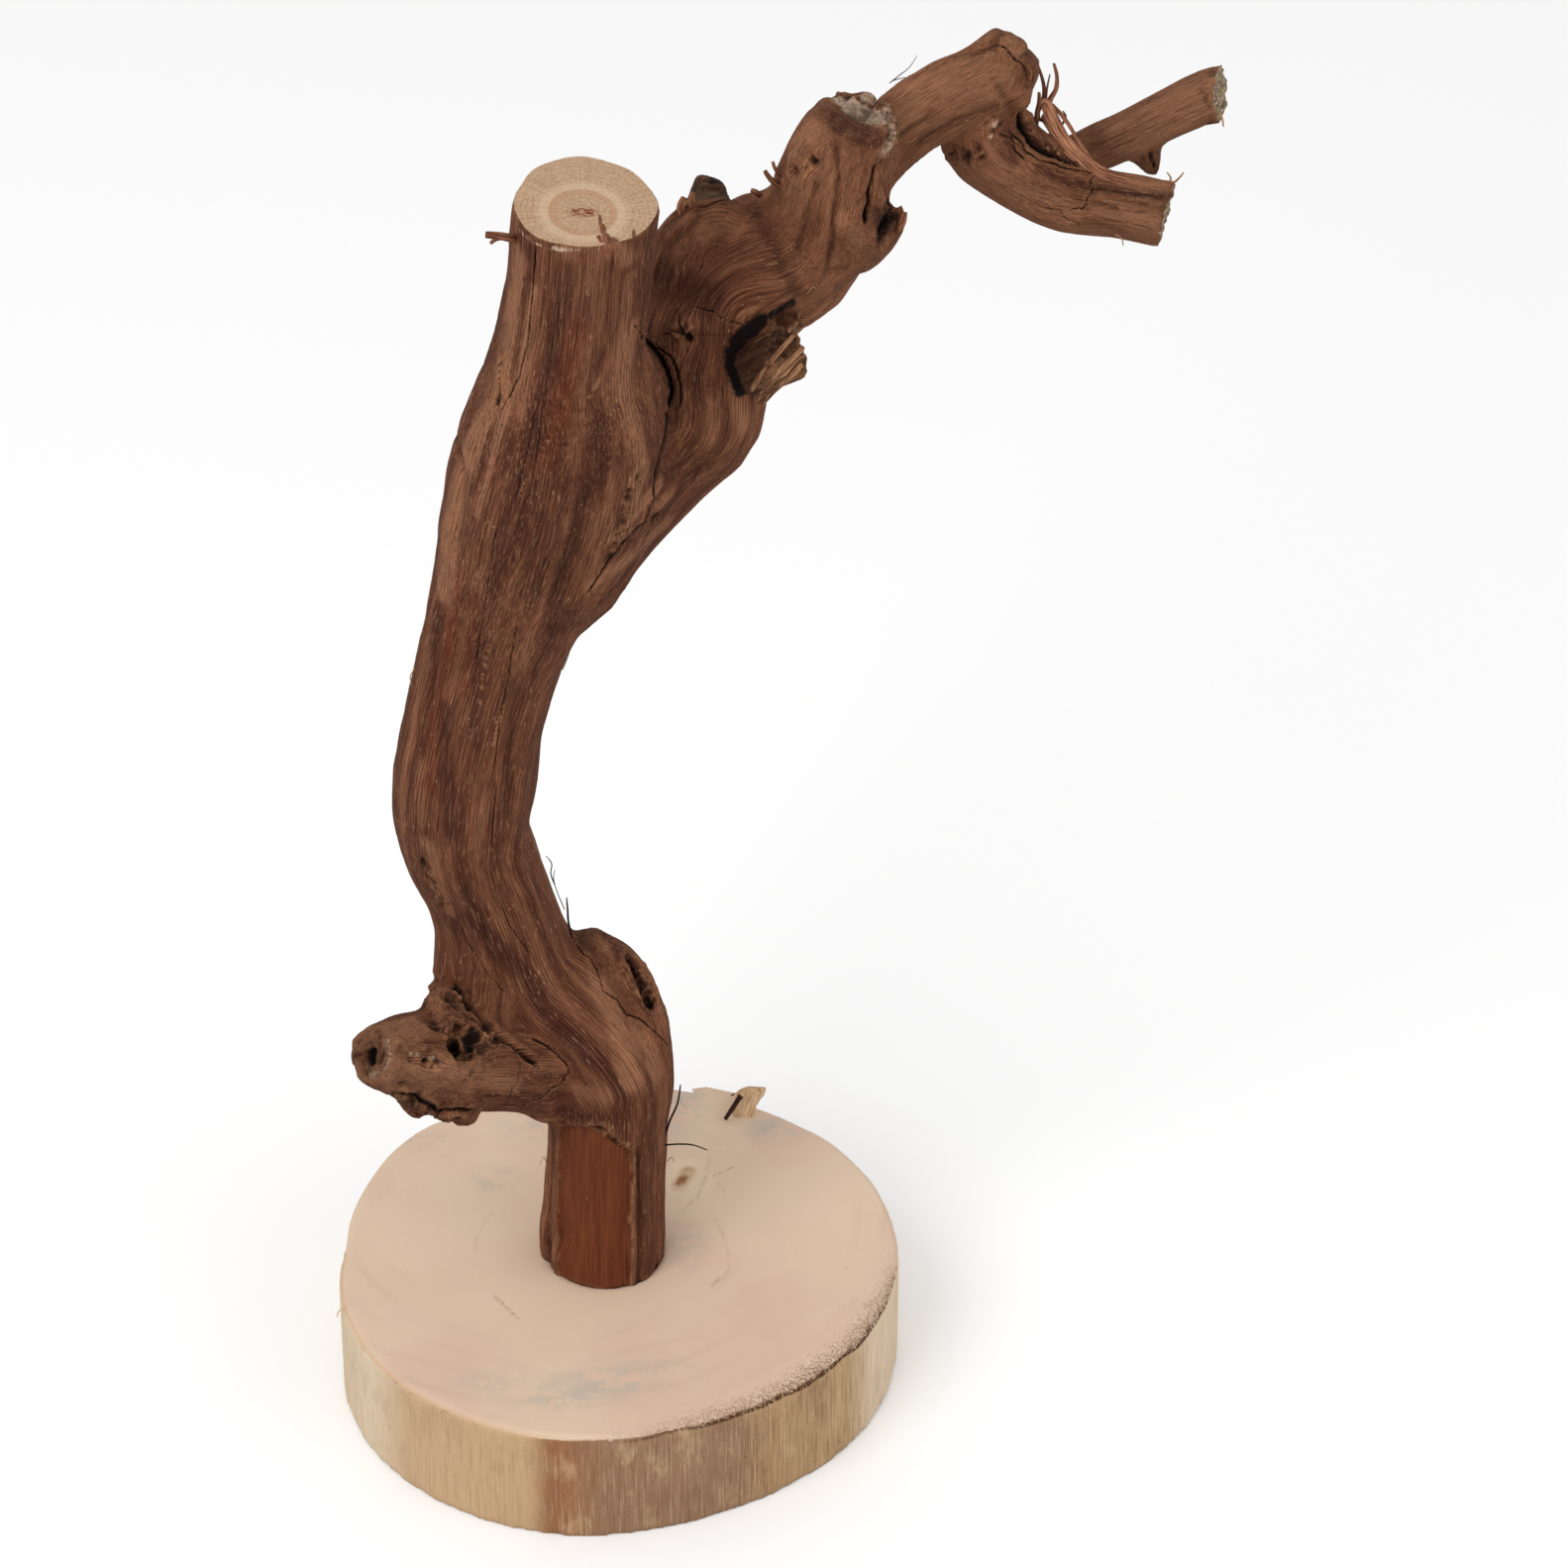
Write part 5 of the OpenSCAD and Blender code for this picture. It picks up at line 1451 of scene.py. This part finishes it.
strands("stub_fibres", dead_fibre, [
    (1.4, 0.6, 10, (762, 404, 0), (776, 388, 0.5), (792, 370, 0.6), (810, 352, 0.4)),
    (1.1, 0.5, 20, (758, 394, 0), (770, 376, 0.4), (784, 358, 0.5), (800, 340, 0.5),
     (810, 330, 0.3)),
    (1.3, 0.6, -10, (768, 408, 0), (782, 394, 0.4), (796, 382, 0.5), (810, 368, 0.3)),
    (0.8, 0.4, 10, (778, 384, 0.2), (792, 378, 0.8), (804, 364, 0.6), (813, 358, 0.2)),
    (0.9, 0.5, 10, (796, 334, 0.2), (804, 326, 0.7), (806, 318, 0.5))], taper=0.7, lying=True)
red_splinter = strip_finish("red_splinters", (92, 50, 34), (142, 86, 60), (186, 132, 96))
strands("cut_splinters", red_splinter, [
    (0.9, 0.4, 0, (604, 238, 0), (608, 247, 0.2), (612, 256, 0.3), (614, 263, 0.2)),
    (0.6, 0.3, 0, (606, 226, 0), (609, 236, 0.1), (613, 247, 0.3), (618, 258, 0.2)),
    (0.8, 0.4, 0, (614, 244, 0), (620, 250, 0.3), (622, 260, 0.3), (622, 268, 0.1))],
    taper=0.4, lying=True)
strands("dark_hairs", dark_fibre_and_shade, [
    (0.5, 0.4, 0, (578, 948, -1), (574, 932, 1), (573, 918, 2), (572, 906, 2)),
    (0.3, 0.3, 0, (560, 893, -1), (556, 882, 2), (557, 872, 2), (551, 864, 2)),
    (0.22, 0.22, 0, (570, 918, -1), (563, 902, 2), (559, 888, 2), (560, 878, 3)),
    (0.5, 0.4, 0, (672, 1146, -1), (676, 1132, 1), (684, 1114, 1), (687, 1095, 1)),
    (0.4, 0.4, 0, (670, 1156, -1), (686, 1155, 1), (700, 1156, 1), (714, 1161, 1)),
    (0.2, 0.2, 0, (898, 84, -1), (908, 76, 1), (918, 68, 1), (926, 56, 1)),
    (0.2, 0.2, 0, (900, 82, -1), (906, 80, 1), (914, 78, 1))], taper=0.6)


# The scar that a side branch left in the slice's rim: a lip of the slice's own wood, pale
# splinters that stand up beside it and a dark strip that paints the shade in the gap between
# them. One more splinter hangs at the left of the rim. Each row starts from a pixel of the slice's
# top.
torn_wood = strip_finish("torn_wood", (176, 134, 96), (210, 174, 136), (232, 206, 172))
strands("scar_lip", sawn, [
    (12.0, 3.0, 0, (720, 1144, -4.4), (721, 1134, -3.0), (723, 1120, -2.6), (726, 1105, -2.7))],
    1.0, "base_slice", lying=True)
strands("scar_splinters", torn_wood, [
    (5.0, 0.9, 0, (750, 1128, -0.6), (753, 1117), (757, 1107), (760, 1099)),
    (1.6, 0.8, 0, (742, 1111), (747, 1104), (755, 1100), (764, 1100), (773, 1100)),
    (1.2, 0.6, 0, (762, 1114), (766, 1108), (770, 1103), (768, 1098)),
    (0.3, 0.3, 0, (347, 1320), (342, 1324), (340, 1330))], 0.6, "base_slice")
strands("scar_shade", dark_fibre_and_shade, [
    (0.9, 0.6, 0, (732, 1130, 0.5), (736, 1124, 0.8), (742, 1115, 1), (748, 1106, 1)),
    (0.3, 0.3, 0, (738, 1106, 1), (746, 1103, 1), (756, 1104, 1))], 1.5, "base_slice")


# Pale hairs of inner bark, which fray from the stem, the foot, the dead stub, the tip and
# the twig, mostly at the outline of the branch.
strands("pale_hairs", pale_fibre, [
    (0.24, 0.24, 0, (418, 694, -1), (414, 684, 1), (419, 674, 1), (424, 664, 1)),
    (0.22, 0.22, 0, (502, 388, -1), (508, 376, 1), (504, 362, 1), (500, 350, 1)),
    (0.22, 0.22, 0, (510, 396, -1), (518, 388, 1.5), (524, 384, 1)),
    (0.22, 0.22, 0, (480, 402, -1), (477, 396, 1), (474, 404, 1)),
    (0.22, 0.22, 0, (568, 676, -1), (573, 664, 1), (576, 654, 1)),
    (0.2, 0.2, 0, (553, 1178, -1), (549, 1168, 1), (545, 1176, 1)),
    (0.2, 0.2, 0, (674, 1172, -1), (678, 1168, 1), (680, 1173, 1)),
    (0.3, 0.25, 0, (1124, 236, -1), (1132, 240, 1), (1134, 248, 0)),
    (0.5, 0.3, 0, (1230, 112, -1), (1234, 120, 0), (1235, 128, 0)),
    (0.4, 0.3, 0, (1186, 184, -1), (1192, 178, 0), (1195, 174, 0)),
    (0.4, 0.3, 0, (1180, 188, -1), (1182, 180, 0), (1178, 174, 0)),
    (0.25, 0.25, 0, (812, 300, -1), (820, 290, 1), (824, 292, 0))], taper=0.6)
